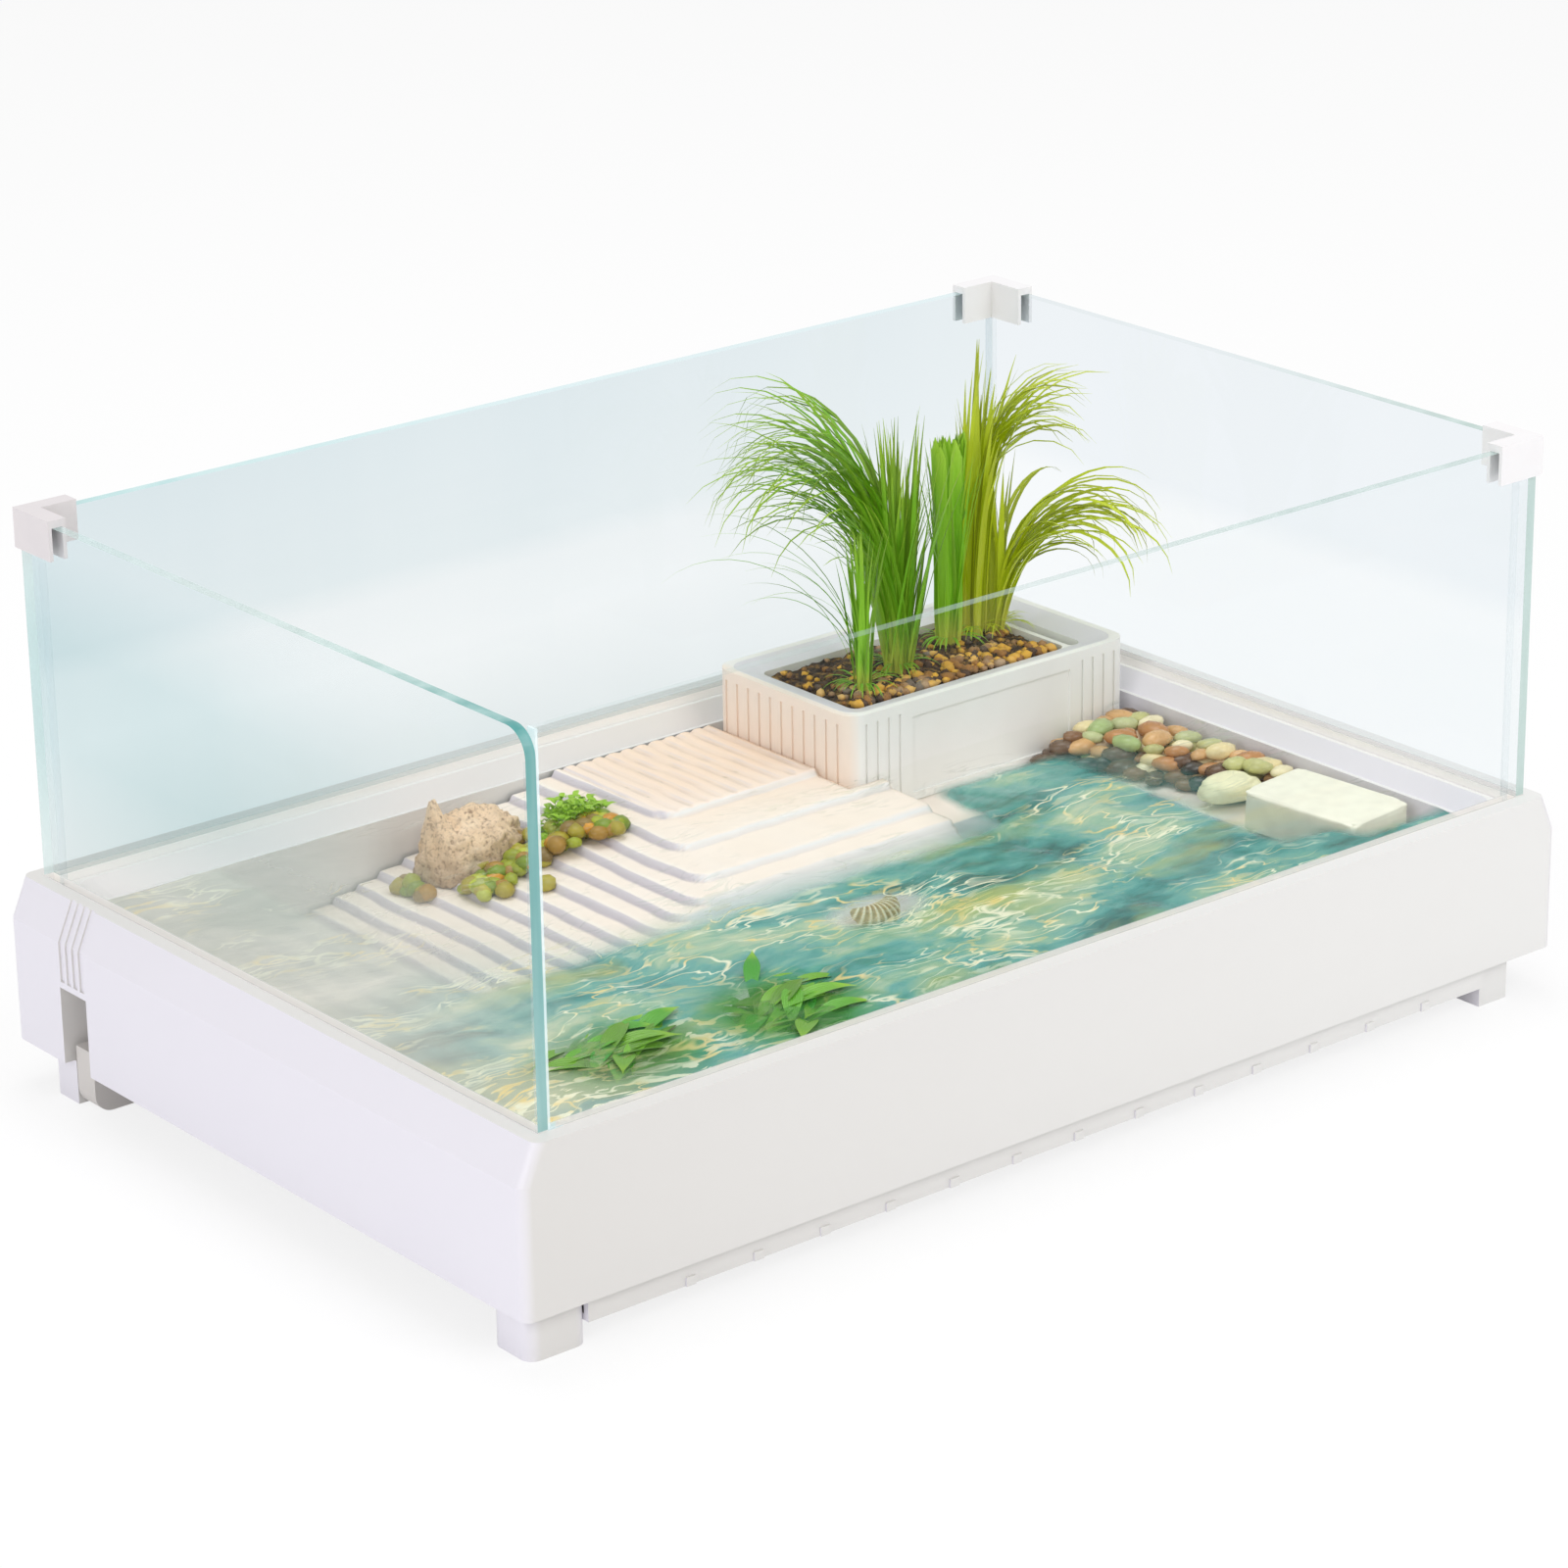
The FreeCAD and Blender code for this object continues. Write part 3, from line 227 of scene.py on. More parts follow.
def glass(name, along, tint, edges, opaque, joint=False):
    """Clear pane. Functions on its shader make its tint, with painted reflections on some panes, its edges'
    colour and how opaque they are.

    With a joint, a pale glued strip shows beside the left pane. Inside the rim's groove the pane is cream.
    """
    look = Shader(name)
    face = look.math("ABSOLUTE", look.normal[along])
    outer = look.math("SUBTRACT", 1.0, look.geometry["Backfacing"])
    streak = look.range(look.noise(14.0, 3.0, stretch=(1, 1, 0.2)), 0.3, 0.7, 0, 0.12)
    # The tint can hold painted reflection as well as the glass's own tint.
    colour = look.mix(streak, tint(look), (0.97, 0.98, 0.98))
    colour = look.mix(outer, (1, 1, 1), colour)
    clear = look.add("BsdfTransparent", Color=colour).outputs[0]
    shine = look.add("BsdfAnisotropic", Color=(0.9, 0.96, 0.98), Roughness=0.03).outputs[0]
    facing = look.times(look.add("Fresnel", IOR=1.45).outputs[0], 0.3)
    pane = look.blend(look.times(facing, outer), clear, shine)
    band = look.range(look.noise(60.0, 3.0, stretch=(1, 1, 0.08)), 0.35, 0.65, 0, 0.35)
    sunk = look.range(look.z, TUB_HIGH.z + 0.6 * MM, TUB_HIGH.z)
    teal = look.mix(sunk, look.mix(band, edges(look), (0.70, 0.84, 0.82)), (0.86, 0.83, 0.80))
    if joint:
        left = look.range(look.x, PANE_HIGH.x + 8 * MM, PANE_HIGH.x + 7 * MM)
        teal = look.mix(left, teal, (0.72, 0.86, 0.88))
    # Painted glow: the edges and the part in the rim's groove give off a little light of their own.
    look.finish(teal, 0.18, Emission_Color=teal, Emission_Strength=0.15)
    upward = look.math("ABSOLUTE", look.normal["Z"])
    narrow = look.times(look.range(face, 0.9, 0.5), opaque(look, upward))
    narrow = look.math("MAXIMUM", narrow, look.times(sunk, 0.8))
    if joint:
        beside = look.range(look.x, PANE_HIGH.x + 1.5 * MM, PANE_HIGH.x + 1.1 * MM, 0, 0.7)
        narrow = look.math("MAXIMUM", narrow, look.times(beside, outer))
    return look.lit_through(look.blend(narrow, pane, look.surface.outputs[0]))


def along_y(back, front):
    """How opaque an end pane's edges are, from the back to the front."""
    return lambda look, _: look.range(look.y, 20 * MM, -150 * MM, back, front)


def along_x(left, right):
    """How opaque a long pane's top edge is, from the left to the right. Its ends nearly vanish."""
    def opaque(look, upward):
        top = look.range(look.x, -220 * MM, 120 * MM, left, right)
        return look.times(top, look.range(upward, 0, 1, 0.05, 1))
    return opaque


def blue_reflection_band(look):
    """Back pane's tint and painted reflection: blue at the top, paler half-way down, greyer at the rim,
    fainter rightwards.
    """
    height = look.range(look.z, TUB_HIGH.z, PANE_HIGH.z)
    colour = look.ramp(height, (0.04, (0.75, 0.81, 0.81)), (0.35, (0.88, 0.915, 0.92)),
                       (0.53, (0.85, 0.89, 0.90)), (0.61, (0.755, 0.83, 0.85)), (1.0, (0.71, 0.80, 0.83)))
    return look.mix(look.range(look.x, -160 * MM, 240 * MM, 0, 0.55), colour, (0.87, 0.915, 0.94))


def blue_back_reflection(look):
    """The left pane's tint: a painted blue reflection in the upper half towards the back, and clear
    elsewhere.
    """
    half_way = look.times(look.range(look.z, 112 * MM, 165 * MM), look.range(look.z, 262 * MM, 215 * MM))
    where = look.times(look.range(look.y, -120 * MM, 40 * MM), half_way)
    return look.mix(where, (0.965, 0.985, 0.99), (0.76, 0.87, 0.885))


def pale_reflection_band(look):
    """The right pane's tint and painted reflection: palest under half-way up, bluer above."""
    return look.mix(look.range(look.z, 180 * MM, 195 * MM), (0.935, 0.96, 0.975), (0.87, 0.91, 0.94))


def nearly_clear(look):
    """The front pane's tint."""
    return look.mix(look.noise(9.0), (0.975, 0.99, 0.99), (0.99, 0.995, 0.995))


def teal_corner(look):
    """The left pane's edges: deep teal at the front corner, grey-green further back."""
    share = look.range(look.y, PANE_LOW.y, PANE_HIGH.y)
    return look.ramp(share, (0.0, (0.045, 0.27, 0.26)), (0.10, (0.07, 0.31, 0.29)),
                     (0.30, (0.30, 0.48, 0.44)), (0.6, (0.48, 0.58, 0.53)), (1.0, (0.42, 0.62, 0.60)))


def grey_green(look):
    """The edges of the front and right panes."""
    return look.mix(look.noise(40.0), (0.30, 0.44, 0.40), (0.42, 0.54, 0.50))


def pale_teal(look):
    """The back pane's edges: teal at the left, nearly white at the right."""
    return look.mix(look.range(look.x, -280 * MM, 0), (0.30, 0.58, 0.57), (0.62, 0.80, 0.82))


def silicone():
    """Nearly clear bead."""
    look = Shader("silicone")
    look.bump(look.noise(200.0), 0.1 * MM, 0.4)
    clear = look.add("BsdfTransparent", Color=(0.975, 0.985, 0.99)).outputs[0]
    look.finish(look.mix(look.noise(60.0), (0.78, 0.86, 0.88), (0.86, 0.90, 0.91)), 0.25)
    milky = look.range(look.z, TUB_HIGH.z, PANE_HIGH.z, 0.14, 0.05)
    return look.lit_through(look.blend(milky, clear, look.surface.outputs[0]))


def planter_plastic():
    """Peach on the fluted end, cool white in front and a painted lilac-grey shade on the slopes inside the
    rim.
    """
    look = Shader("planter_plastic")
    left = look.range(look.x, PLANTER_LOW.x + 7 * MM, PLANTER_LOW.x + 2 * MM)
    share = look.range(look.z, PLANTER_LOW.z, PLANTER_HIGH.z)
    peach = look.mix(share, (0.93, 0.74, 0.60), (0.95, 0.84, 0.74))
    body = look.mix(left, (0.93, 0.93, 0.905), peach)
    # Painted shade: the slanting faces inside the rim are lilac-grey.
    shaded_slope = look.times(look.range(look.normal["Z"], 0.5, 0.8), look.range(look.normal["Z"], 0.995, 0.975))
    colour = look.mix(shaded_slope, body, (0.76, 0.75, 0.81))
    look.bump(look.noise(700.0, 2.0), 0.04 * MM, 0.35)
    worn = look.range(look.noise(40.0, 4.0), 0.35, 0.7, 0, 0.25)
    return look.finish(look.mix(worn, colour, (0.84, 0.80, 0.76)), 0.42)


def ramp_plastic():
    """Sand-coloured mouldings: cream treads; painted highlights on the ridge tops; painted shade: lilac-grey
    risers, bluish flanks and dark feet.
    """
    look = Shader("ramp_plastic")
    tread = look.mix(look.noise(26.0, 4.0, stretch=(1, 0.3, 1)), (0.94, 0.81, 0.69), (0.95, 0.88, 0.81))
    peach = look.times(look.range(look.y, 60 * MM, 110 * MM), look.range(look.x, -35 * MM, 15 * MM))
    tread = look.mix(peach, tread, (0.94, 0.75, 0.59))
    # Painted highlight: the ridge tops are a lighter cream.
    tread = look.mix(look.times(look.attribute("brow_highlight"), 0.7), tread, (0.98, 0.93, 0.86))
    # Painted shade: the risers, which face left, are lilac-grey.
    colour = look.mix(look.range(look.normal["X"], -0.15, -0.55), tread, (0.66, 0.62, 0.66))
    # Painted shade: the flanks, which face the front, are bluish.
    colour = look.mix(look.range(look.normal["Y"], -0.3, -0.8), colour, (0.80, 0.84, 0.87))
    # Painted shadow: the foot of each riser is dark lilac.
    colour = look.mix(look.times(look.attribute("foot"), 0.7), colour, (0.44, 0.39, 0.42))
    speck = look.noise(420.0, 3.0)
    look.bump(speck, 0.12 * MM, 0.4)
    return look.finish(look.mix(look.range(speck, 0.62, 0.75, 0, 0.10), colour, (0.66, 0.58, 0.50)), 0.55)


def stone_look(name, roughness, speck, depth, veins=0.35, pale=0.3, pits=0.0):
    """Stone in its mesh's tints, which on the rock hold painted light, with mottling, veins and pits."""
    look = Shader(name)
    tint = look.attribute("tint", "Color")
    mottled = look.mix(look.range(look.noise(120.0, 5.0), 0.35, 0.7, 0, veins), tint, (0.10, 0.07, 0.05))
    light = look.mix(look.range(look.noise(45.0, 4.0), 0.5, 0.75, 0, pale), mottled, (0.95, 0.88, 0.70))
    fine = look.noise(speck, 5.0, 0.65)
    light = look.mix(look.range(fine, 0.50, 0.34, 0, pits), light, (0.30, 0.19, 0.12))
    look.bump(fine, depth, 0.8)
    return look.finish(light, look.range(fine, 0.3, 0.7, roughness, roughness + 0.25))


def soil_look():
    """Damp crumbly soil with pale fibres."""
    look = Shader("soil")
    crumbs = look.noise(230.0, 6.0, 0.7)
    colour = look.ramp(crumbs, (0.36, (0.010, 0.006, 0.004)), (0.50, (0.060, 0.032, 0.014)),
                       (0.60, (0.24, 0.13, 0.03)), (0.70, (0.55, 0.34, 0.08)))
    look.bump(crumbs, 1.2 * MM, 1.0)
    return look.finish(colour, 0.85)


def leaf_look(name, root, body, tip, spread=0.35):
    """Leaves that change from root to tip, with ribs along them, each in its own tone, and a faint painted
    glow.
    """
    look = Shader(name)
    own = look.attribute("own")
    colour = look.ramp(look.attribute("along"), (0.0, root), (0.22, body), (0.7, body), (1.0, tip))
    ribs = look.math("SINE", look.times(look.attribute("across"), 26.0))
    colour = look.mix(look.range(own, 0, 1, 0, spread), colour, tip)
    dark = tuple(part * 0.35 for part in body)
    colour = look.mix(look.range(own, 0.55, 1.0, 0, 0.7), colour, dark)
    look.bump(ribs, 0.08 * MM, 0.6)
    # Painted glow: the leaves give off a little light in their own colour, in place of light shining through
    # them.
    return look.finish(colour, 0.38, Coat_Weight=0.1, Emission_Color=colour, Emission_Strength=0.14)


def shell_look():
    """Tan shell with pale stripes along its ribs."""
    look = Shader("shell")
    colour = look.ramp(look.attribute("stripe"), (0.25, (0.36, 0.23, 0.07)), (0.6, (0.60, 0.43, 0.18)),
                       (0.85, (0.93, 0.85, 0.62)))
    look.bump(look.noise(300.0, 4.0), 0.1 * MM, 0.6)
    worn = look.range(look.noise(90.0), 0.45, 0.7, 0, 0.4)
    return look.finish(look.mix(worn, colour, (0.66, 0.52, 0.28)), 0.4, Coat_Weight=0.3)


def water_look():
    """Rippled water: clear over the ramp, grey at the back, teal with painted cream glints where it is deep.
    """
    look = Shader("water")
    depth = look.attribute("depth")
    drift = look.add("TexNoise", Vector=look.place, Scale=15.0, Detail=3.0).outputs["Color"]
    flowing = look.add("VectorMath", {"operation": "MULTIPLY_ADD"}, s0=drift, s1=(0.055, 0.040, 0),
                       s2=look.place).outputs[0]

    def glint_streaks(scale, stretch, width):
        """Thin curved marks of painted glint where a noise crosses its middle."""
        level = look.math("SUBTRACT", look.noise(scale, 2.5, 0.5, stretch, flowing), 0.5)
        return look.range(look.math("ABSOLUTE", level), width, width * 0.25)

    patch = look.noise(21.0, 5.0, 0.62, (0.5, 1.3, 1), flowing)
    teal = look.ramp(patch, (0.36, (0.015, 0.12, 0.10)), (0.45, (0.05, 0.28, 0.25)),
                     (0.51, (0.11, 0.37, 0.32)), (0.58, (0.24, 0.45, 0.31)), (0.70, (0.60, 0.66, 0.42)))
    olive = look.range(look.noise(13.0, 4.0, 0.5, (0.5, 1.2, 1), flowing), 0.54, 0.64, 0, 0.7)
    teal = look.mix(olive, teal, (0.44, 0.47, 0.10))
    leafy = look.attribute("leafy")
    green = look.times(leafy, look.range(patch, 0.35, 0.6, 0.8, 0.97))
    teal = look.mix(green, teal, (0.05, 0.24, 0.02))
    grey = look.ramp(patch, (0.30, (0.50, 0.51, 0.45)), (0.55, (0.62, 0.61, 0.54)),
                     (0.72, (0.78, 0.74, 0.65)))
    front = look.range(look.math("ADD", look.y, look.times(look.x, -0.35)), 90 * MM, 10 * MM)
    front = look.times(front, look.range(look.x, -270 * MM, -170 * MM, 0.25, 1))
    colour = look.mix(front, grey, teal)
    broken = look.range(look.noise(20.0, 3.0, 0.6, (0.6, 1.2, 1)), 0.44, 0.56)
    deep = look.range(depth, 10 * MM, 50 * MM, 0.2, 1)
    # Painted highlights: thin curved glints where the water is deep, and flecks, strongest in the front-left
    # corner.
    glint_lines = look.math("MAXIMUM", glint_streaks(26.0, (0.45, 1.3, 1), 0.012), glint_streaks(58.0, (0.4, 1.4, 1), 0.016))
    glint_lines = look.times(look.times(look.times(glint_lines, broken), deep), look.range(front, 0, 0.6, 0.45, 1))
    glint_fleck = look.range(look.noise(140.0, 2.0, 0.5, (0.42, 1.5, 1), flowing), 0.56, 0.585)
    corner = look.times(look.range(look.x, -90 * MM, -170 * MM), look.range(look.y, -85 * MM, -125 * MM))
    spread = look.times(glint_fleck, look.range(broken, 0.5, 1, 0, 0.4))
    bright = look.math("MAXIMUM", glint_lines, look.math("MAXIMUM", look.times(glint_fleck, corner), spread))
    # The painted glints are cream to gold, fainter over the plants, and make the water less clear where they
    # lie.
    cream = look.mix(look.range(look.noise(50.0), 0.45, 0.6), (0.90, 0.88, 0.66), (0.86, 0.66, 0.26))
    bright = look.times(bright, look.range(leafy, 0, 1, 0.85, 0.35))
    colour = look.mix(bright, colour, cream)
    share = look.math("POWER", look.range(depth, 24 * MM, 58 * MM), 1.1)
    cover = look.math("ADD", look.times(share, 0.9), look.times(bright, 0.55), True)
    waves = look.math("ADD", look.noise(30.0, 4.0, 0.5, (0.6, 1.4, 1), flowing), look.times(patch, 0.6))
    look.bump(waves, 3.0 * MM, 0.6)
    look.finish(colour, 0.10, IOR=1.33, Specular_IOR_Level=0.30)
    clear = look.add("BsdfTransparent", Color=(0.985, 0.99, 0.98)).outputs[0]
    return look.lit_through(look.blend(cover, clear, look.surface.outputs[0]))


# Meshes.
def new_object(name, data):
    """An object in the scene."""
    thing = bpy.data.objects.new(name, data)
    bpy.context.scene.collection.objects.link(thing)
    return thing


def piece(name, points, faces, material, replaces, attributes=None):
    """A mesh piece that rides on the tank. Attributes are one value, or one colour, for each point."""
    mesh = bpy.data.meshes.new(name)
    mesh.from_pydata([tuple(point) for point in points], [], [tuple(face) for face in faces])
    mesh.update()
    for key, values in (attributes or {}).items():
        values = np.asarray(values, dtype=np.float32)
        if values.ndim == 2:
            colours = np.hstack([values, np.ones((len(values), 1), dtype=np.float32)])
            mesh.attributes.new(key, "FLOAT_COLOR", "POINT").data.foreach_set("color", colours.ravel())
        else:
            mesh.attributes.new(key, "FLOAT", "POINT").data.foreach_set("value", values)
    mesh.polygons.foreach_set("use_smooth", [True] * len(mesh.polygons))
    mesh.materials.append(material)
    thing = new_object(name, mesh)
    if replaces:
        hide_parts(*replaces)
    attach(thing, "root")


def grid_faces(rows, columns, first=0):
    """Quads of a grid of points that are numbered row by row."""
    for row in range(rows - 1):
        for column in range(columns - 1):
            corner = first + row * columns + column
            yield corner, corner + 1, corner + columns + 1, corner + columns


def field_points(across, along, heights):
    """Points of a height field, row by row."""
    return np.stack([across, along, heights], axis=-1).reshape(-1, 3)


def smooth_step(low, high, value):
    """A smooth rise from 0 at low to 1 at high."""
    share = np.clip((value - low) / (high - low), 0, 1)
    return share * share * (3 - 2 * share)


def ripple(x, y, seed=0.0):
    """A few sine waves that drift like noise, for whole arrays."""
    return (np.sin(x * 1.7 + y * 0.6 + seed) + np.sin(x * 0.9 - y * 1.3 + 2.1 * seed + 1.3)
            + 0.5 * np.sin(x * 3.1 + y * 2.3 + 0.7 * seed)) / 2.5


def ramp_terraces(x, y):
    """Height of the ramp and its shelf at arrays of x and y, and the painted highlight near ridge tops and
    painted shadow at their feet.
    """
    wave = 1.3 * MM * ripple(x * 12, y * 36) + 0.7 * MM * ripple(x * 30, y * 105, 3.0)
    drop, brow_highlight, foot = np.zeros_like(x), np.zeros_like(x), np.zeros_like(x)
    front = LANDING_FRONT
    for ridge in range(RIDGES):
        if ridge:
            front -= WIDE_STEP if ridge < 3 else LAST_STEP if ridge == 3 else NARROW_STEP
        left = LANDING_LEFT - ridge * RIDGE_PITCH
        # Each ridge drops the ground beyond its own wavy line, which bends round the landing's corner.
        own = 0.9 * MM * ripple(x * 20, y * 45, 2.0 * ridge)
        out_x = np.maximum(left - x + wave + own + RIDGE_BEND, 0)
        out_y = np.maximum(front - y + 0.6 * wave + RIDGE_BEND, 0)
        beyond = np.hypot(out_x, out_y) - RIDGE_BEND
        drop += RIDGE_DROP * smooth_step(-0.2 * MM, 2.2 * MM, beyond)
        steep = smooth_step(-6 * MM, 2 * MM, left - x)
        # Painted highlight along the top edge of each steep ridge, and painted shadow at its foot.
        brow_highlight = np.maximum(brow_highlight, steep * np.exp(-((beyond + 1.4 * MM) / (1.6 * MM)) ** 2))
        foot = np.maximum(foot, np.exp(-((beyond - 2.3 * MM) / (0.9 * MM)) ** 2) * (0.35 + 0.65 * steep))
    low_end = LANDING - RIDGE_DROP * (RIDGES - 0.5)
    ridged = LANDING - drop
    # Pleats run over the landing, and a fine grain over the rest.
    on_landing = smooth_step(0, 4 * MM, x - LANDING_LEFT) * smooth_step(0, 3 * MM, y - LANDING_FRONT)
    pleat = np.abs(np.sin((x + wave * 1.2) / PLEAT_PITCH * math.pi))
    ridged -= on_landing * PLEAT_DEPTH * (1 - pleat) ** 2
    # Painted shade in the grooves between the landing's pleats.
    foot = np.maximum(foot, 0.45 * on_landing * (1 - pleat) ** 3)
    ridged += (1 - on_landing) * 0.3 * MM * ripple(x * 160, y * 60, 1.0)
    ridged = np.where((ridged < low_end) | (x > APRON_RIGHT), BASIN_FLOOR, ridged)
    # The shelf is low in front of the slab, and higher under the planter and the pebbles.
    shelf = np.full_like(x, BASIN_FLOOR)
    shelf = np.where((x > LOW_LEFT) & (y > LOW_FRONT), LOW_SHELF, shelf)
    shelf = np.where((x > LANDING_LEFT) & (y > SHELF_FRONT), SHELF, shelf)
    shelf = np.where((x > BEACH_LEFT) & (y > BEACH_FRONT), SHELF, shelf)
    shelf += np.where(shelf > BASIN_FLOOR, 0.5 * MM * ripple(x * 120, y * 120, 5.0), 0)
    bare = ridged > shelf
    return np.maximum(ridged, shelf), brow_highlight * bare, foot * bare


def ground(x, y):
    """Height of the ramp, its shelf or the basin's floor at one spot."""
    return float(ramp_terraces(np.array([x]), np.array([y]))[0][0])


def make_ramp():
    """The ramp's skin: a height field, finer over the ridges, with skirts down to the basin's floor."""
    ridge_end = LANDING_LEFT + 10 * MM
    fine = np.arange(RAMP_LOW.x, ridge_end, 1.0 * MM)
    coarse = np.arange(ridge_end, RAMP_HIGH.x, 1.9 * MM)
    xs = np.concatenate([fine, coarse, [RAMP_HIGH.x]])
    ys = np.linspace(RAMP_LOW.y, RAMP_HIGH.y, 190)
    across, along = np.meshgrid(xs, ys)
    heights, brow_highlight, foot = ramp_terraces(across, along)
    under_planter = ((across > PLANTER_LOW.x - 1 * MM) & (along > PLANTER_LOW.y - 1 * MM)
                     & (across < PLANTER_HIGH.x))
    heights = np.where(under_planter, np.minimum(heights, SHELF - 0.3 * MM), heights)
    points = field_points(across, along, heights)
    solid = heights.ravel() > BASIN_FLOOR + 1 * MM
    faces = [face for face in grid_faces(len(ys), len(xs)) if solid[list(face)].any()]
    # These values carry the painted highlight on the ridges and the painted shadow at their feet.
    values = {"brow_highlight": brow_highlight.ravel(), "foot": foot.ravel()}
    piece("ramp_mouldings", points, faces, ramp_plastic(), ("ramp",), values)


def make_soil():
    """Uneven soil inside the planter."""
    rows, columns = 60, 90
    xs = np.linspace(SOIL_LOW.x, SOIL_HIGH.x, columns)
    ys = np.linspace(SOIL_LOW.y, SOIL_HIGH.y, rows)
    across, along = np.meshgrid(xs, ys)
    rng = np.random.default_rng(3)
    bumps = 1.2 * MM * ripple(across * 260, along * 300) + rng.normal(0, 0.35 * MM, across.shape)
    edge = np.minimum.reduce([across - xs[0], xs[-1] - across, along - ys[0], ys[-1] - along])
    heights = SOIL_HIGH.z - 2.6 * MM + 2.2 * MM * smooth_step(0, 20 * MM, edge) + bumps
    points = field_points(across, along, heights)
    piece("soil_surface", points, grid_faces(rows, columns), soil_look(), ("planter_soil",))


def round_ball(fineness):
    """Points and faces of a ball of radius 1."""
    ball = bmesh.new()
    bmesh.ops.create_icosphere(ball, subdivisions=fineness, radius=1)
    points = [vertex.co.copy() for vertex in ball.verts]
    faces = [[vertex.index for vertex in face.verts] for face in ball.faces]
    ball.free()
    return points, faces


class Heap:
    """Many stones gathered into one mesh, each with its own tint."""

    def __init__(self, fineness):
        self.ball, self.faces = round_ball(fineness)
        self.points, self.joins, self.tints = [], [], []

    def add(self, middle, size, turn, tint, seed, rough=0.16, boxy=1.0):
        """One lumpy stone. Above 1, boxy flattens its sides."""
        first = len(self.points)
        rotation = Matrix.Rotation(turn, 3, "Z")
        for point in self.ball:
            reach = 1 + rough * noise.noise(point * 1.3 + Vector((seed, 0, seed * 0.7)))
            reach += rough * 0.5 * noise.noise(point * 3.1 + Vector((0, seed, 0)))
            shaped = Vector([math.copysign(abs(part) ** (1 / boxy), part) for part in point]) * reach
            scaled = Vector([part * side / 2 for part, side in zip(shaped, size)])
            self.points.append(middle + rotation @ scaled)
            self.tints.append(tint)
        self.joins.extend([index + first for index in face] for face in self.faces)

    def build(self, name, material, slot, replaces):
        """Makes the heap a piece."""
        piece(name, self.points, self.joins, material, replaces, {"tint": self.tints})


def scatter(rng, wanted, spacing, pick):
    """Points picked at random and kept only where they are clear of those before them."""
    kept = []
    for _ in range(wanted * 60):
        if len(kept) == wanted:
            break
        x, y = pick(rng)
        if all(math.hypot(x - a, y - b) > spacing for a, b in kept):
            kept.append((x, y))
    return kept


def make_clods():
    """Crumbs and golden clods on the soil, thickest at the front edge."""
    rng = random.Random(11)
    heap = Heap(1)
    gold, brown, dark = (0.80, 0.44, 0.05), (0.36, 0.17, 0.04), (0.08, 0.04, 0.02)
    for index in range(CLODS):
        share = rng.random() ** 1.6
        x = rng.uniform(SOIL_LOW.x + 4 * MM, SOIL_HIGH.x - 4 * MM)
        y = SOIL_LOW.y + 4 * MM + share * (SOIL_HIGH.y - SOIL_LOW.y - 8 * MM)
        size = rng.uniform(2.5, 6.5) * MM * (1.2 - 0.5 * share)
        front = share < 0.5
        tint = rng.choice((gold, gold, brown, brown, dark) if front else (gold, brown, dark, dark))
        z = SOIL_HIGH.z - 1.6 * MM + size * 0.25
        heap.add(Vector((x, y, z)), (size, size * 0.85, size * 0.75), rng.uniform(0, 6), tint, index, 0.5)
    heap.build("soil_clods", stone_look("clods", 0.8, 500.0, 0.5 * MM), "gravel", ("planter_gravel",))


class Leaves:
    """Many blades gathered into one mesh, with how far along, how far across and each one's own tone."""

    def __init__(self):
        self.points, self.faces = [], []
        self.along, self.across, self.own = [], [], []

    def add(self, foot, heading, length, width, lean, bend, curl, own, stations, taper=4.0, fold=0.25,
            broad=False):
        """A blade that starts at a lean and bends over more and more, folded along its middle."""
        first = len(self.points)
        out = Vector((math.cos(heading), math.sin(heading), 0))
        side = Vector((-math.sin(heading), math.cos(heading), 0))
        centre = foot.copy()
        for station in range(stations):
            share = station / (stations - 1)
            angle = lean + bend * share ** curl
            if station:
                step = length / (stations - 1)
                centre = centre + (out * math.sin(angle) + Vector((0, 0, 1)) * math.cos(angle)) * step
            outline = max(math.sin(math.pi * share), 0.12) if broad else min(1, 0.5 + share * 3)
            half = width / 2 * outline * max(1 - share ** taper, 0.04)
            lift = (Vector((0, 0, 1)) * math.sin(angle) - out * math.cos(angle)) * half * fold
            for place, offset in ((-1, lift), (0, Vector()), (1, lift)):
                self.points.append(centre + side * half * place + offset)
                self.along.append(share)
                self.across.append(place)
                self.own.append(own)
        self.faces.extend(grid_faces(stations, 3, first))

    def build(self, name, material, slot, replaces):
        """Makes the leaves a piece."""
        values = {"along": self.along, "across": self.across, "own": self.own}
        piece(name, self.points, self.faces, material, replaces, values)


# Directions that blades lean in: to the left and back, to the right and front, and in from the panes.
LEFTWARDS, RIGHTWARDS = math.radians(140.8), math.radians(-39.2)
INWARDS = Vector((-0.5908, -0.7247, 0.3546))
BENDING_ROOM = 34 * MM


def kept_inside(point):
    """The point bent inwards and up where it comes near the right pane or the back pane."""
    slide = 0.0
    for value, limit, share in ((point.x, RIGHT_PANE, INWARDS.x), (point.y, BACK_PANE, INWARDS.y)):
        excess = value - (limit - BENDING_ROOM)
        if excess > 0:
            left_over = excess - BENDING_ROOM * (1 - math.exp(-excess / BENDING_ROOM))
            slide = max(slide, left_over / -share)
    return point + INWARDS * slide


def around_spot(spot, angle, radius, height):
    """A point at an angle and a radius from a spot. Spot and radius are in millimetres."""
    x, y = spot
    return Vector(((x + radius * math.cos(angle)) * MM, (y + radius * math.sin(angle)) * MM, height))


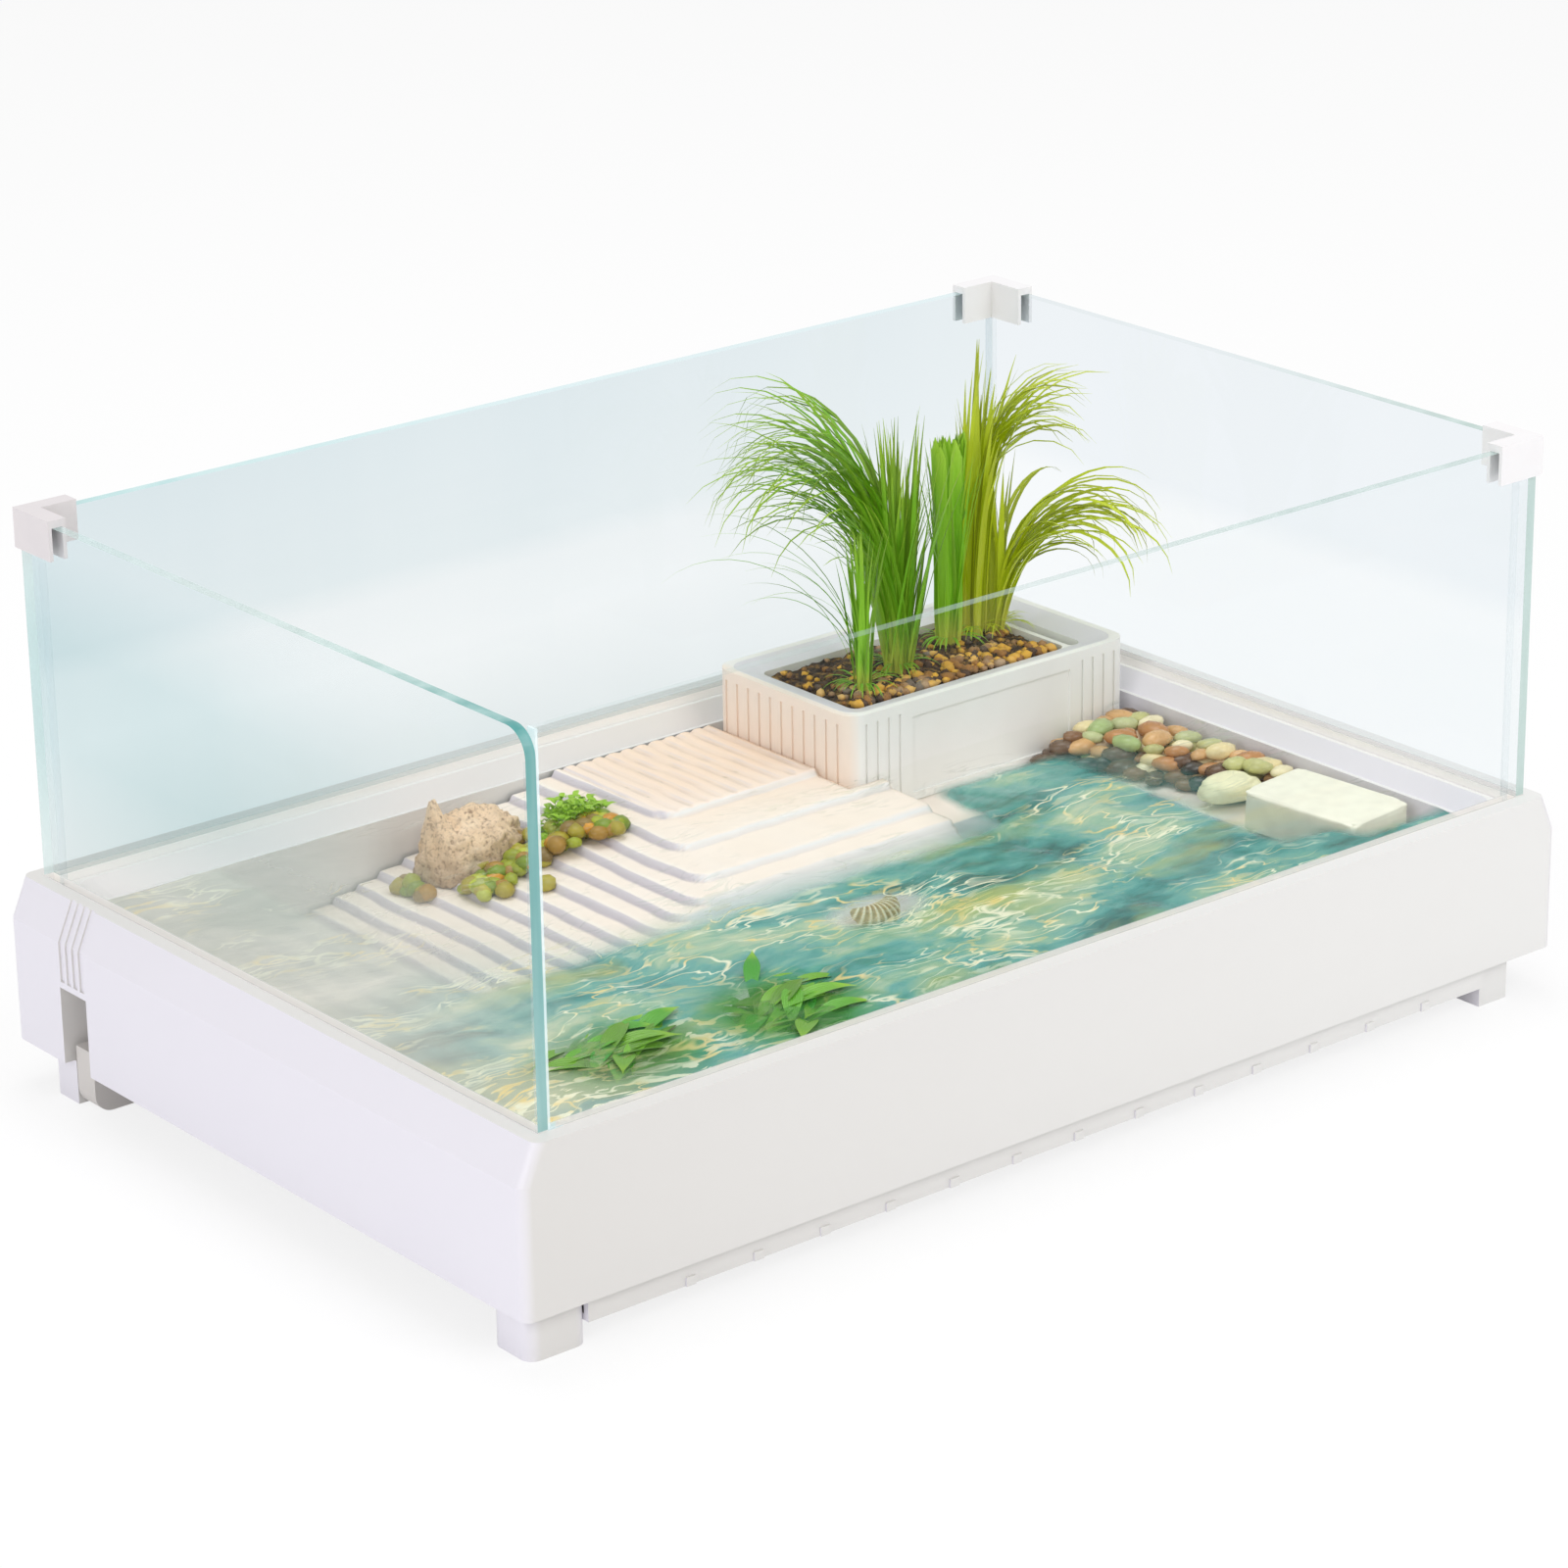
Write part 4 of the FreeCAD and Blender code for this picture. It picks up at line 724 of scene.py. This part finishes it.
def grow(clump, material, spot, tufts, seed):
    """One clump of grass from tufts of blades, with roots at its foot. Lengths are in millimetres."""
    rng = random.Random(seed)
    leaves = Leaves()
    soil = SOIL_HIGH.z - 2 * MM
    for count, spread, heading, fan, length, width, lean, (least, most), curl, taper in tufts:
        for _ in range(count):
            angle, radius = rng.uniform(0, 2 * math.pi), spread * math.sqrt(rng.random())
            foot = around_spot(spot, angle, radius, soil)
            share = rng.random()
            leaves.add(foot, heading + rng.uniform(-fan, fan), rng.uniform(*length) * MM,
                       width * rng.uniform(0.7, 1.25) * MM, rng.uniform(0, lean),
                       least + (most - least) * share, rng.uniform(0.8, 1.2) * curl, rng.random(), 16, taper)
    for _ in range(ROOTS):
        angle = rng.uniform(0, 2 * math.pi)
        foot = around_spot(spot, angle, 5, soil + 6 * MM)
        leaves.add(foot, angle, rng.uniform(10, 19) * MM, 0.8 * MM, 1.1, 1.2, 1.5, 0, 7)
    leaves.points = [kept_inside(point) for point in leaves.points]
    leaves.build(f"grass_clump_{clump}", material, "grass", (f"grass_{clump}",))


def make_grass():
    """Five clumps: slender at the left, tall and arching, cut straight, and two yellow-green at the right."""
    green = leaf_look("grass_green", (0.62, 0.60, 0.10), (0.16, 0.42, 0.01), (0.42, 0.60, 0.05), 0.5)
    fresh = leaf_look("grass_fresh", (0.68, 0.62, 0.12), (0.20, 0.50, 0.01), (0.38, 0.64, 0.05), 0.4)
    yellow = leaf_look("grass_yellow", (0.68, 0.64, 0.12), (0.50, 0.60, 0.01), (0.58, 0.68, 0.06), 0.4)
    around, left, right = math.pi, LEFTWARDS, RIGHTWARDS
    # A tuft: blades, spread of feet, heading, fan, lengths, width, lean, bends, curl and how late it tapers.
    grow(1, fresh, (124, 98), (
        (40, 4.0, 0, around, (60, 92), 2.4, 0.12, (0.0, 0.3), 2.0, 3.0),
        (9, 3.0, left, 0.5, (85, 140), 1.5, 0.35, (1.3, 2.0), 1.6, 2.5)), 41)
    grow(2, green, (155, 108), (
        (48, 6.5, left, 0.8, (165, 205), 2.6, 0.10, (2.0, 2.9), 2.8, 5.0),
        (60, 6.5, left, 1.0, (130, 180), 2.6, 0.20, (1.2, 2.4), 2.4, 5.0),
        (40, 6.5, left, 1.3, (90, 130), 2.8, 0.25, (0.4, 1.8), 2.2, 4.0),
        (50, 6.5, 0, around, (90, 135), 3.2, 0.08, (0.0, 0.25), 2.0, 3.0),
        (40, 8.0, right, 0.9, (75, 125), 3.0, 0.22, (0.0, 0.35), 2.0, 3.0)), 42)
    grow(3, fresh, (199, 121), (
        (50, 6.5, 0, around, (104, 110), 5.0, 0.05, (0.0, 0.06), 2.0, 40.0),
        (30, 6.0, 0, around, (70, 112), 2.6, 0.16, (0.0, 0.4), 2.0, 3.0)), 43)
    grow(4, yellow, (220, 126), (
        (34, 6.5, right, 0.4, (140, 168), 5.0, 0.05, (1.4, 2.6), 4.0, 5.0),
        (40, 7.0, right, 1.6, (100, 150), 4.4, 0.07, (0.0, 0.4), 2.5, 4.0),
        (16, 6.0, left, 0.6, (90, 130), 3.0, 0.08, (0.0, 0.3), 2.0, 3.0)), 44)
    grow(5, yellow, (231, 121), (
        (24, 4.0, right, 0.6, (115, 140), 3.6, 0.20, (2.2, 3.0), 2.0, 5.0),
        (24, 4.0, right, 1.0, (80, 115), 3.0, 0.25, (1.8, 2.9), 2.0, 4.0),
        (14, 4.0, 0, around, (60, 100), 3.4, 0.08, (0.0, 0.2), 2.0, 3.0)), 45)


def make_water_plants():
    """Broad-leaved plants that rise from the basin's floor and spread out at the surface."""
    material = leaf_look("water_leaf", (0.02, 0.12, 0.01), (0.03, 0.27, 0.01), (0.36, 0.60, 0.03), 0.6)
    for node, count, seed in (("water_plant_left", 170, 70), ("water_plant_right", 120, 71)):
        low, high = corners(node)
        middle, half = (low + high) / 2, (high - low) / 2
        rng = random.Random(seed)
        leaves = Leaves()
        for _ in range(count):
            angle, reach = rng.uniform(0, 6.3), 0.52 * math.sqrt(rng.random())
            x, y = middle.x + half.x * reach * math.cos(angle), middle.y + half.y * reach * math.sin(angle)
            foot = Vector((x, y, WATER_LEVEL - rng.uniform(5, 17) * MM))
            root = Vector((x, y, BASIN_FLOOR))
            heading = rng.uniform(-0.5, 0.9) + (math.pi if rng.random() < 0.35 else 0)
            leaves.add(foot, heading, rng.uniform(22, 40) * MM, rng.uniform(6, 12) * MM, 0.9,
                       rng.uniform(0.7, 1.1), 0.8, rng.random(), 12, 8.0, 0.3, broad=True)
            leaves.add(root, angle, foot.z - root.z + 2 * MM, 2.5 * MM, 0.0, 0.05, 1.0, 0.9, 4, 9.0)
        for point in leaves.points:
            point.z = min(point.z, WATER_LEVEL + 3 * MM)
        leaves.build(f"leaves_of_{node}", material, "leaf", (node,))


def make_rock():
    """A rough wedge of rock with its peak at the left, sunk onto the ridges."""
    ball, faces = round_ball(5)
    middle = Vector((-84 * MM, 137 * MM, 0))
    base = LANDING + (middle.x - LANDING_LEFT) * RIDGE_DROP / RIDGE_PITCH
    points, tints = [], []
    for spot in ball:
        rough = noise.fractal(spot * 2.7 + Vector((4, 1, 7)), 0.6, 2.1, 6)
        reach = 1 + 0.13 * rough
        x, y = spot.x * reach * 27 * MM, spot.y * reach * 20 * MM
        # The horn rises at the left end, and the top falls off to the right.
        horn = math.exp(-((spot.x + 0.72) / 0.13) ** 2 - ((spot.y - 0.1) / 0.4) ** 2)
        tall = (22 + 24 * horn - 8 * spot.x) * MM
        z = max(spot.z, -0.1) * reach * tall
        points.append(middle + Vector((x, y, base + x * RIDGE_DROP / RIDGE_PITCH + z + 1.5 * MM)))
        # Painted light: the tints are lighter on the rock's top and darker underneath; shade only adds a
        # random tone.
        shade = 0.5 + 0.5 * noise.noise(spot * 3.0)
        lit = min(1, max(0, 0.25 + 1.3 * spot.z))
        tints.append((0.50 + 0.42 * lit + 0.08 * shade, 0.34 + 0.34 * lit + 0.08 * shade,
                      0.20 + 0.24 * lit + 0.08 * shade))
    material = stone_look("rock", 0.75, 420.0, 1.8 * MM, 0.15, 0.4, 0.8)
    piece("rough_rock", points, faces, material, ("basking_rock",), {"tint": tints})


def make_ramp_pebbles():
    """Green, olive and orange pebbles in a heap right of the rock and a few on its left."""
    rng = random.Random(5)
    heap = Heap(2)
    palette = ((0.34, 0.40, 0.01), (0.40, 0.33, 0.02), (0.20, 0.30, 0.01), (0.40, 0.22, 0.02),
               (0.66, 0.30, 0.01), (0.50, 0.56, 0.03), (0.26, 0.17, 0.03), (0.46, 0.40, 0.02))
    for index in range(RAMP_PEBBLES):
        # Every sixteenth lies left of the rock.
        if index % 16 == 0:
            x, y = rng.uniform(-123, -113) * MM, rng.uniform(124, 144) * MM
            layer = 0
        else:
            share = rng.random()
            x = (-104 + 76 * share) * MM
            y = (rng.gauss(104 - 6 * share, 7) + 7 * math.sin(share * 3)) * MM
            layer = max(0, 1 - abs(share - 0.62) * 2.4) * max(0, 1 - abs(y - 96 * MM) / (16 * MM))
        size = rng.uniform(8.0, 12.5) * MM
        z = ground(x, y) + size * 0.28 + layer * rng.choice((0, 5, 9)) * MM
        turn, tint = rng.uniform(0, 6), rng.choice(palette)
        heap.add(Vector((x, y, z)), (size, size * 0.8, size * 0.66), turn, tint, index)
    material = stone_look("green_pebble", 0.25, 200.0, 0.1 * MM, 0.3, 0.1)
    heap.build("green_pebbles", material, "mixed_pebble", ("ramp_pebbles",))


def make_moss():
    """A bright tuft of small leaves behind the pebbles."""
    rng = random.Random(8)
    low, high = corners("moss")
    middle = (low + high) / 2
    leaves = Leaves()
    for _ in range(MOSS_LEAVES):
        x = rng.gauss(middle.x, 9 * MM)
        y = rng.gauss(middle.y - 3 * MM, 5 * MM)
        x, y = min(max(x, low.x), high.x), min(max(y, low.y), high.y)
        tall = 12 * MM * math.exp(-((x - middle.x) / (13 * MM)) ** 2)
        foot = Vector((x, y, ground(x, y) + rng.uniform(0.2, 1) * tall))
        leaves.add(foot, rng.uniform(0, 6.3), rng.uniform(4, 7) * MM, rng.uniform(3, 5) * MM, 0.5, 1.2, 1.2,
                   rng.random() * 0.7, 6, 2.5, 0.4, broad=True)
    material = leaf_look("moss", (0.10, 0.28, 0.02), (0.28, 0.52, 0.03), (0.48, 0.66, 0.08))
    leaves.build("moss_tuft", material, "moss", ("moss",))


def make_pebble_bed():
    """Polished pebbles that fill the shelf's corner, dark along the slanting edge and pale behind it."""
    rng = random.Random(21)
    low, high = corners("pebbles_pale")
    dark_low, _ = corners("pebbles_dark")
    left, right, near, back = min(low.x, dark_low.x), high.x, low.y, high.y
    heaps = {"pale": Heap(2), "dark": Heap(2)}
    palette = {
        "pale": ((0.92, 0.78, 0.42), (0.95, 0.86, 0.56), (0.72, 0.42, 0.17), (0.58, 0.58, 0.24),
                 (0.92, 0.74, 0.50), (0.55, 0.26, 0.09)),
        "dark": ((0.060, 0.035, 0.020), (0.13, 0.065, 0.03), (0.24, 0.11, 0.04), (0.03, 0.026, 0.022)),
    }
    greenish = ((0.42, 0.55, 0.22), (0.55, 0.60, 0.30))

    def edge(y):
        """Where the bed's slanting edge is at a given y."""
        share = (back - y) / (back - near)
        return left + (right - 16 * MM - left) * share ** 1.1

    def pick(source):
        """A spot behind the slanting edge."""
        y = source.uniform(near, back)
        return source.uniform(edge(y), right), y

    # Each layer's count and spacing. Upper layers keep back from the edge.
    for layer, (count, spacing) in enumerate(((130, 7.5 * MM), (100, 8 * MM), (40, 9 * MM))):
        for index, (x, y) in enumerate(scatter(rng, count, spacing, pick)):
            inside = (x - edge(y)) / (28 * MM)
            if layer and inside < 0.18 * layer:
                continue
            kind = "dark" if inside < 0.24 + 0.2 * rng.random() or rng.random() < 0.12 else "pale"
            size = rng.uniform(10, 19) * MM
            tint = rng.choice(palette[kind])
            if kind == "pale" and rng.random() < 0.6 * (y - near) / (back - near) - 0.25:
                tint = rng.choice(greenish)
            middle = Vector((min(x, right - size * 0.45), min(y, back - size * 0.4),
                             SHELF + size * 0.25 + layer * 5.2 * MM))
            heaps[kind].add(middle, (size, size * 0.66, size * 0.48), rng.gauss(-0.5, 0.4), tint,
                            50 * layer + index)
    material = stone_look("river_pebble", 0.14, 160.0, 0.06 * MM, 0.25, 0.12)
    heaps["pale"].build("pale_river_pebbles", material, "pale_pebble", ("pebbles_pale",))
    heaps["dark"].build("dark_river_pebbles", material, "dark_pebble", ("pebbles_dark",))


def make_big_stones():
    """The square slab, and the pale and grey stones beside it."""
    for node, slot, tint, boxy, turn, fine in (
        ("white_slab", "white_stone", (0.91, 0.91, 0.75), 6.0, 0.09, 5),
        ("pale_stone", "pale_pebble", (0.95, 0.93, 0.62), 1.25, -0.3, 4),
        ("grey_stone", "grey_stone", (0.26, 0.23, 0.19), 1.2, 0.5, 4),
    ):
        low, high = corners(node)
        heap = Heap(fine)
        size = (high - low) * (0.93 if boxy > 2 else 1.0)
        if node == "pale_stone":
            size.z *= 0.75
        heap.add((low + high) / 2, tuple(size), turn, tint, 3.0 + boxy, 0.14 if boxy < 2 else 0.05, boxy)
        material = stone_look(f"{node}_look", 0.4, 140.0, 0.5 * MM, 0.10 if boxy > 2 else 0.2)
        heap.build(f"{node}_shaped", material, slot, (node,))


def make_shell():
    """A curved, ribbed shell whose ends taper."""
    low, high = corners("shell")
    middle = (low + high) / 2
    stations, rounds, half_ribs = 60, 20, 22
    points, stripes = [], []
    bend = (high.x - low.x) / 2 * 0.82
    for station in range(stations):
        share = station / (stations - 1)
        angle = math.radians(200 + 140 * share)
        outward = Vector((math.cos(angle), math.sin(angle), 0))
        centre = outward * bend
        rib = math.cos(share * half_ribs * math.pi)
        radius = 6.4 * MM * (math.sin(math.pi * share) ** 0.55 + 0.02) * (1 + 0.07 * rib)
        for turn in range(rounds):
            around = 2 * math.pi * turn / rounds
            lift = outward * math.cos(around) * radius + Vector((0, 0, 0.8 * math.sin(around) * radius))
            points.append(centre + lift)
            stripes.append(0.5 + 0.5 * rib)
    tilt = Matrix.Rotation(math.radians(34), 3, "X") @ Matrix.Rotation(math.radians(4), 3, "Z")
    shift = Vector((0, bend * 0.55, 0))
    points = [middle + tilt @ (point + shift) for point in points]
    faces = []
    for row in range(stations - 1):
        for turn in range(rounds):
            following = (turn + 1) % rounds
            faces.append((row * rounds + turn, row * rounds + following,
                          (row + 1) * rounds + following, (row + 1) * rounds + turn))
    piece("ribbed_shell", points, faces, shell_look(), ("shell",), {"stripe": stripes})


# Where the slanting view from the front left meets things under water: its direction, and its run per depth.
SIGHT, SIGHT_RUN = Vector((0.63, 0.78, 0)), 2.64
CLEAR_DEPTH, SMOOTHINGS = 60 * MM, 10


def make_water():
    """The rippled surface, with the depth under it at each point."""
    rows, columns = 150, 240
    xs = np.linspace(-WATER_END, WATER_END, columns)
    ys = np.linspace(-WATER_SIDE, WATER_SIDE, rows)
    across, along = np.meshgrid(xs, ys)
    waves = 0.5 * MM * ripple(across * 95, along * 120) + 0.3 * MM * ripple(across * 260, along * 210, 2)
    heights = WATER_LEVEL + waves
    shallow, _, _ = ramp_terraces(across, along)
    leafy = np.zeros_like(across)
    # Water is clearer over the plants and the shell.
    for node, cover, widen in (("water_plant_left", 39, 1), ("water_plant_right", 39, 1), ("shell", 28, 2.5)):
        low, high = corners(node)
        shift = SIGHT_RUN * (WATER_LEVEL - (low.z + high.z) / 2) if node == "shell" else 14 * MM
        middle = (low + high) / 2 - SIGHT * shift
        half = (high - low) / 2 * widen
        near = np.hypot((across - middle.x) / half.x, (along - middle.y) / half.y)
        shallow = np.maximum(shallow, WATER_LEVEL - cover * MM - CLEAR_DEPTH * smooth_step(0.5, 1.1, near))
        if node != "shell":
            leafy = np.maximum(leafy, 1 - smooth_step(0.5, 1.25, near))
    depth = np.maximum(WATER_LEVEL - shallow, 0)
    for _ in range(SMOOTHINGS):
        padded = np.pad(depth, 1, mode="edge")
        depth = (padded[:-2, 1:-1] + padded[2:, 1:-1] + padded[1:-1, :-2] + padded[1:-1, 2:]) / 4
    points = field_points(across, along, heights)
    inside_planter = ((across > PLANTER_LOW.x + 2 * MM) & (across < PLANTER_HIGH.x - 2 * MM)
                      & (along > PLANTER_LOW.y + 2 * MM) & (along < PLANTER_HIGH.y - 2 * MM)).ravel()
    faces = [face for face in grid_faces(rows, columns) if not inside_planter[list(face)].all()]
    values = {"depth": depth.ravel(), "leafy": leafy.ravel()}
    piece("water_surface", points, faces, water_look(), (), values)


def dress(material, *names):
    """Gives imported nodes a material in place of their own."""
    for name in names:
        nodes[name].data.materials.clear()
        nodes[name].data.materials.append(material)


# The camera: its angles in degrees, its focal length in pixels of the photo's width, and its place along
# its own side, top and back.
AZIMUTH, ELEVATION, ROLL = -39.186, 20.766, -0.838
FOCAL_PIXELS, PHOTO_WIDTH = 5233.3, 1600
ASIDE, ABOVE, AWAY = -6.182 * MM, 114.576 * MM, 2374.1 * MM


def make_camera():
    """The photograph's viewpoint, fitted to the tub's corners."""
    azimuth, elevation, roll = (math.radians(angle) for angle in (AZIMUTH, ELEVATION, ROLL))
    back = Vector((math.sin(azimuth) * math.cos(elevation), -math.cos(azimuth) * math.cos(elevation),
                   math.sin(elevation)))
    right = Vector((math.cos(azimuth), math.sin(azimuth), 0))
    up = back.cross(right)
    side = right * math.cos(roll) + up * math.sin(roll)
    top = up * math.cos(roll) - right * math.sin(roll)
    data = bpy.data.cameras.new("camera")
    data.lens = data.sensor_width * FOCAL_PIXELS / PHOTO_WIDTH
    camera = new_object("camera", data)
    camera.matrix_world = Matrix((side, top, back)).transposed().to_4x4()
    camera.location = side * ASIDE + top * ABOVE + back * AWAY
    bpy.context.scene.camera = camera


def area_light(name, place, size, power, colour=(1, 1, 1)):
    """A soft square lamp that points at the tank."""
    data = bpy.data.lights.new(name, "AREA")
    data.size, data.energy, data.color = size, power, colour
    lamp = new_object(name, data)
    lamp.location = place
    aim = Vector((0, 0, 0.1)) - Vector(place)
    lamp.rotation_euler = aim.to_track_quat("-Z", "Y").to_euler()


def make_floor():
    """A pale floor that looks white to the camera but keeps its shadow."""
    look = Shader("floor")
    rays = look.add("LightPath").outputs
    seen = look.math("MAXIMUM", rays["Is Camera Ray"],
                     look.math("MAXIMUM", rays["Is Glossy Ray"], rays["Is Transmission Ray"]))
    look.finish(look.mix(look.noise(3.0), (0.93, 0.93, 0.93), (0.95, 0.95, 0.95)), 0.9)
    white = look.add("Emission", Color=(1, 1, 1), Strength=1.0).outputs[0]
    look.set(look.output, "Surface", look.blend(look.times(seen, 0.8), look.surface.outputs[0], white))
    half = 8.0
    mesh = bpy.data.meshes.new("floor")
    rim = [(-half, -half, 0), (half, -half, 0), (half, half, 0), (-half, half, 0)]
    mesh.from_pydata(rim, [], [(0, 1, 2, 3)])
    mesh.materials.append(look.material)
    floor = new_object("floor", mesh)


def make_lighting():
    """A white world, dimmer as light than as backdrop, and three soft lamps."""
    world = bpy.data.worlds.new("studio")
    bpy.context.scene.world = world
    world.use_nodes = True
    tree = world.node_tree
    rays = tree.nodes.new("ShaderNodeLightPath").outputs
    background = tree.nodes["Background"]
    background.inputs["Color"].default_value = (1, 1, 1, 1)
    strength = tree.nodes.new("ShaderNodeMapRange")
    seen = tree.nodes.new("ShaderNodeMath")
    seen.operation = "MAXIMUM"
    tree.links.new(rays["Is Camera Ray"], seen.inputs[0])
    tree.links.new(rays["Is Transmission Ray"], seen.inputs[1])
    tree.links.new(seen.outputs[0], strength.inputs[0])
    strength.inputs[3].default_value = 0.62
    strength.inputs[4].default_value = 1.0
    tree.links.new(strength.outputs[0], background.inputs["Strength"])
    area_light("key", (0.6, -2.2, 2.2), 1.6, 26)
    area_light("fill", (-2.4, -0.8, 1.2), 1.6, 20, (0.97, 0.96, 1.0))
    area_light("top", (0.2, 0.6, 2.6), 1.4, 20)


bpy.context.scene.view_settings.view_transform = "Standard"
dress(tub_plastic(), "tub")
dress(glass("glass_left", "X", blue_back_reflection, teal_corner, along_y(0.45, 0.95)), "pane_left")
dress(glass("glass_right", "X", pale_reflection_band, grey_green, along_y(0.12, 0.85)), "pane_right")
dress(glass("glass_front", "Y", nearly_clear, grey_green, along_x(0.08, 0.6), True), "pane_front")
dress(glass("glass_back", "Y", blue_reflection_band, pale_teal, along_x(0.7, 0.4)), "pane_back")
dress(silicone(), "seal_front_left", "seal_front_right", "seal_back_left", "seal_back_right")
dress(clip_plastic(), "clip_back_left", "clip_back_right", "clip_front_right")
dress(drain_plastic(), "drain_spout", "drain_plug")
dress(planter_plastic(), "planter_box")
make_ramp()
make_soil()
make_clods()
make_grass()
make_water_plants()
make_rock()
make_ramp_pebbles()
make_moss()
make_pebble_bed()
make_big_stones()
make_shell()
make_water()
make_camera()
make_floor()
make_lighting()
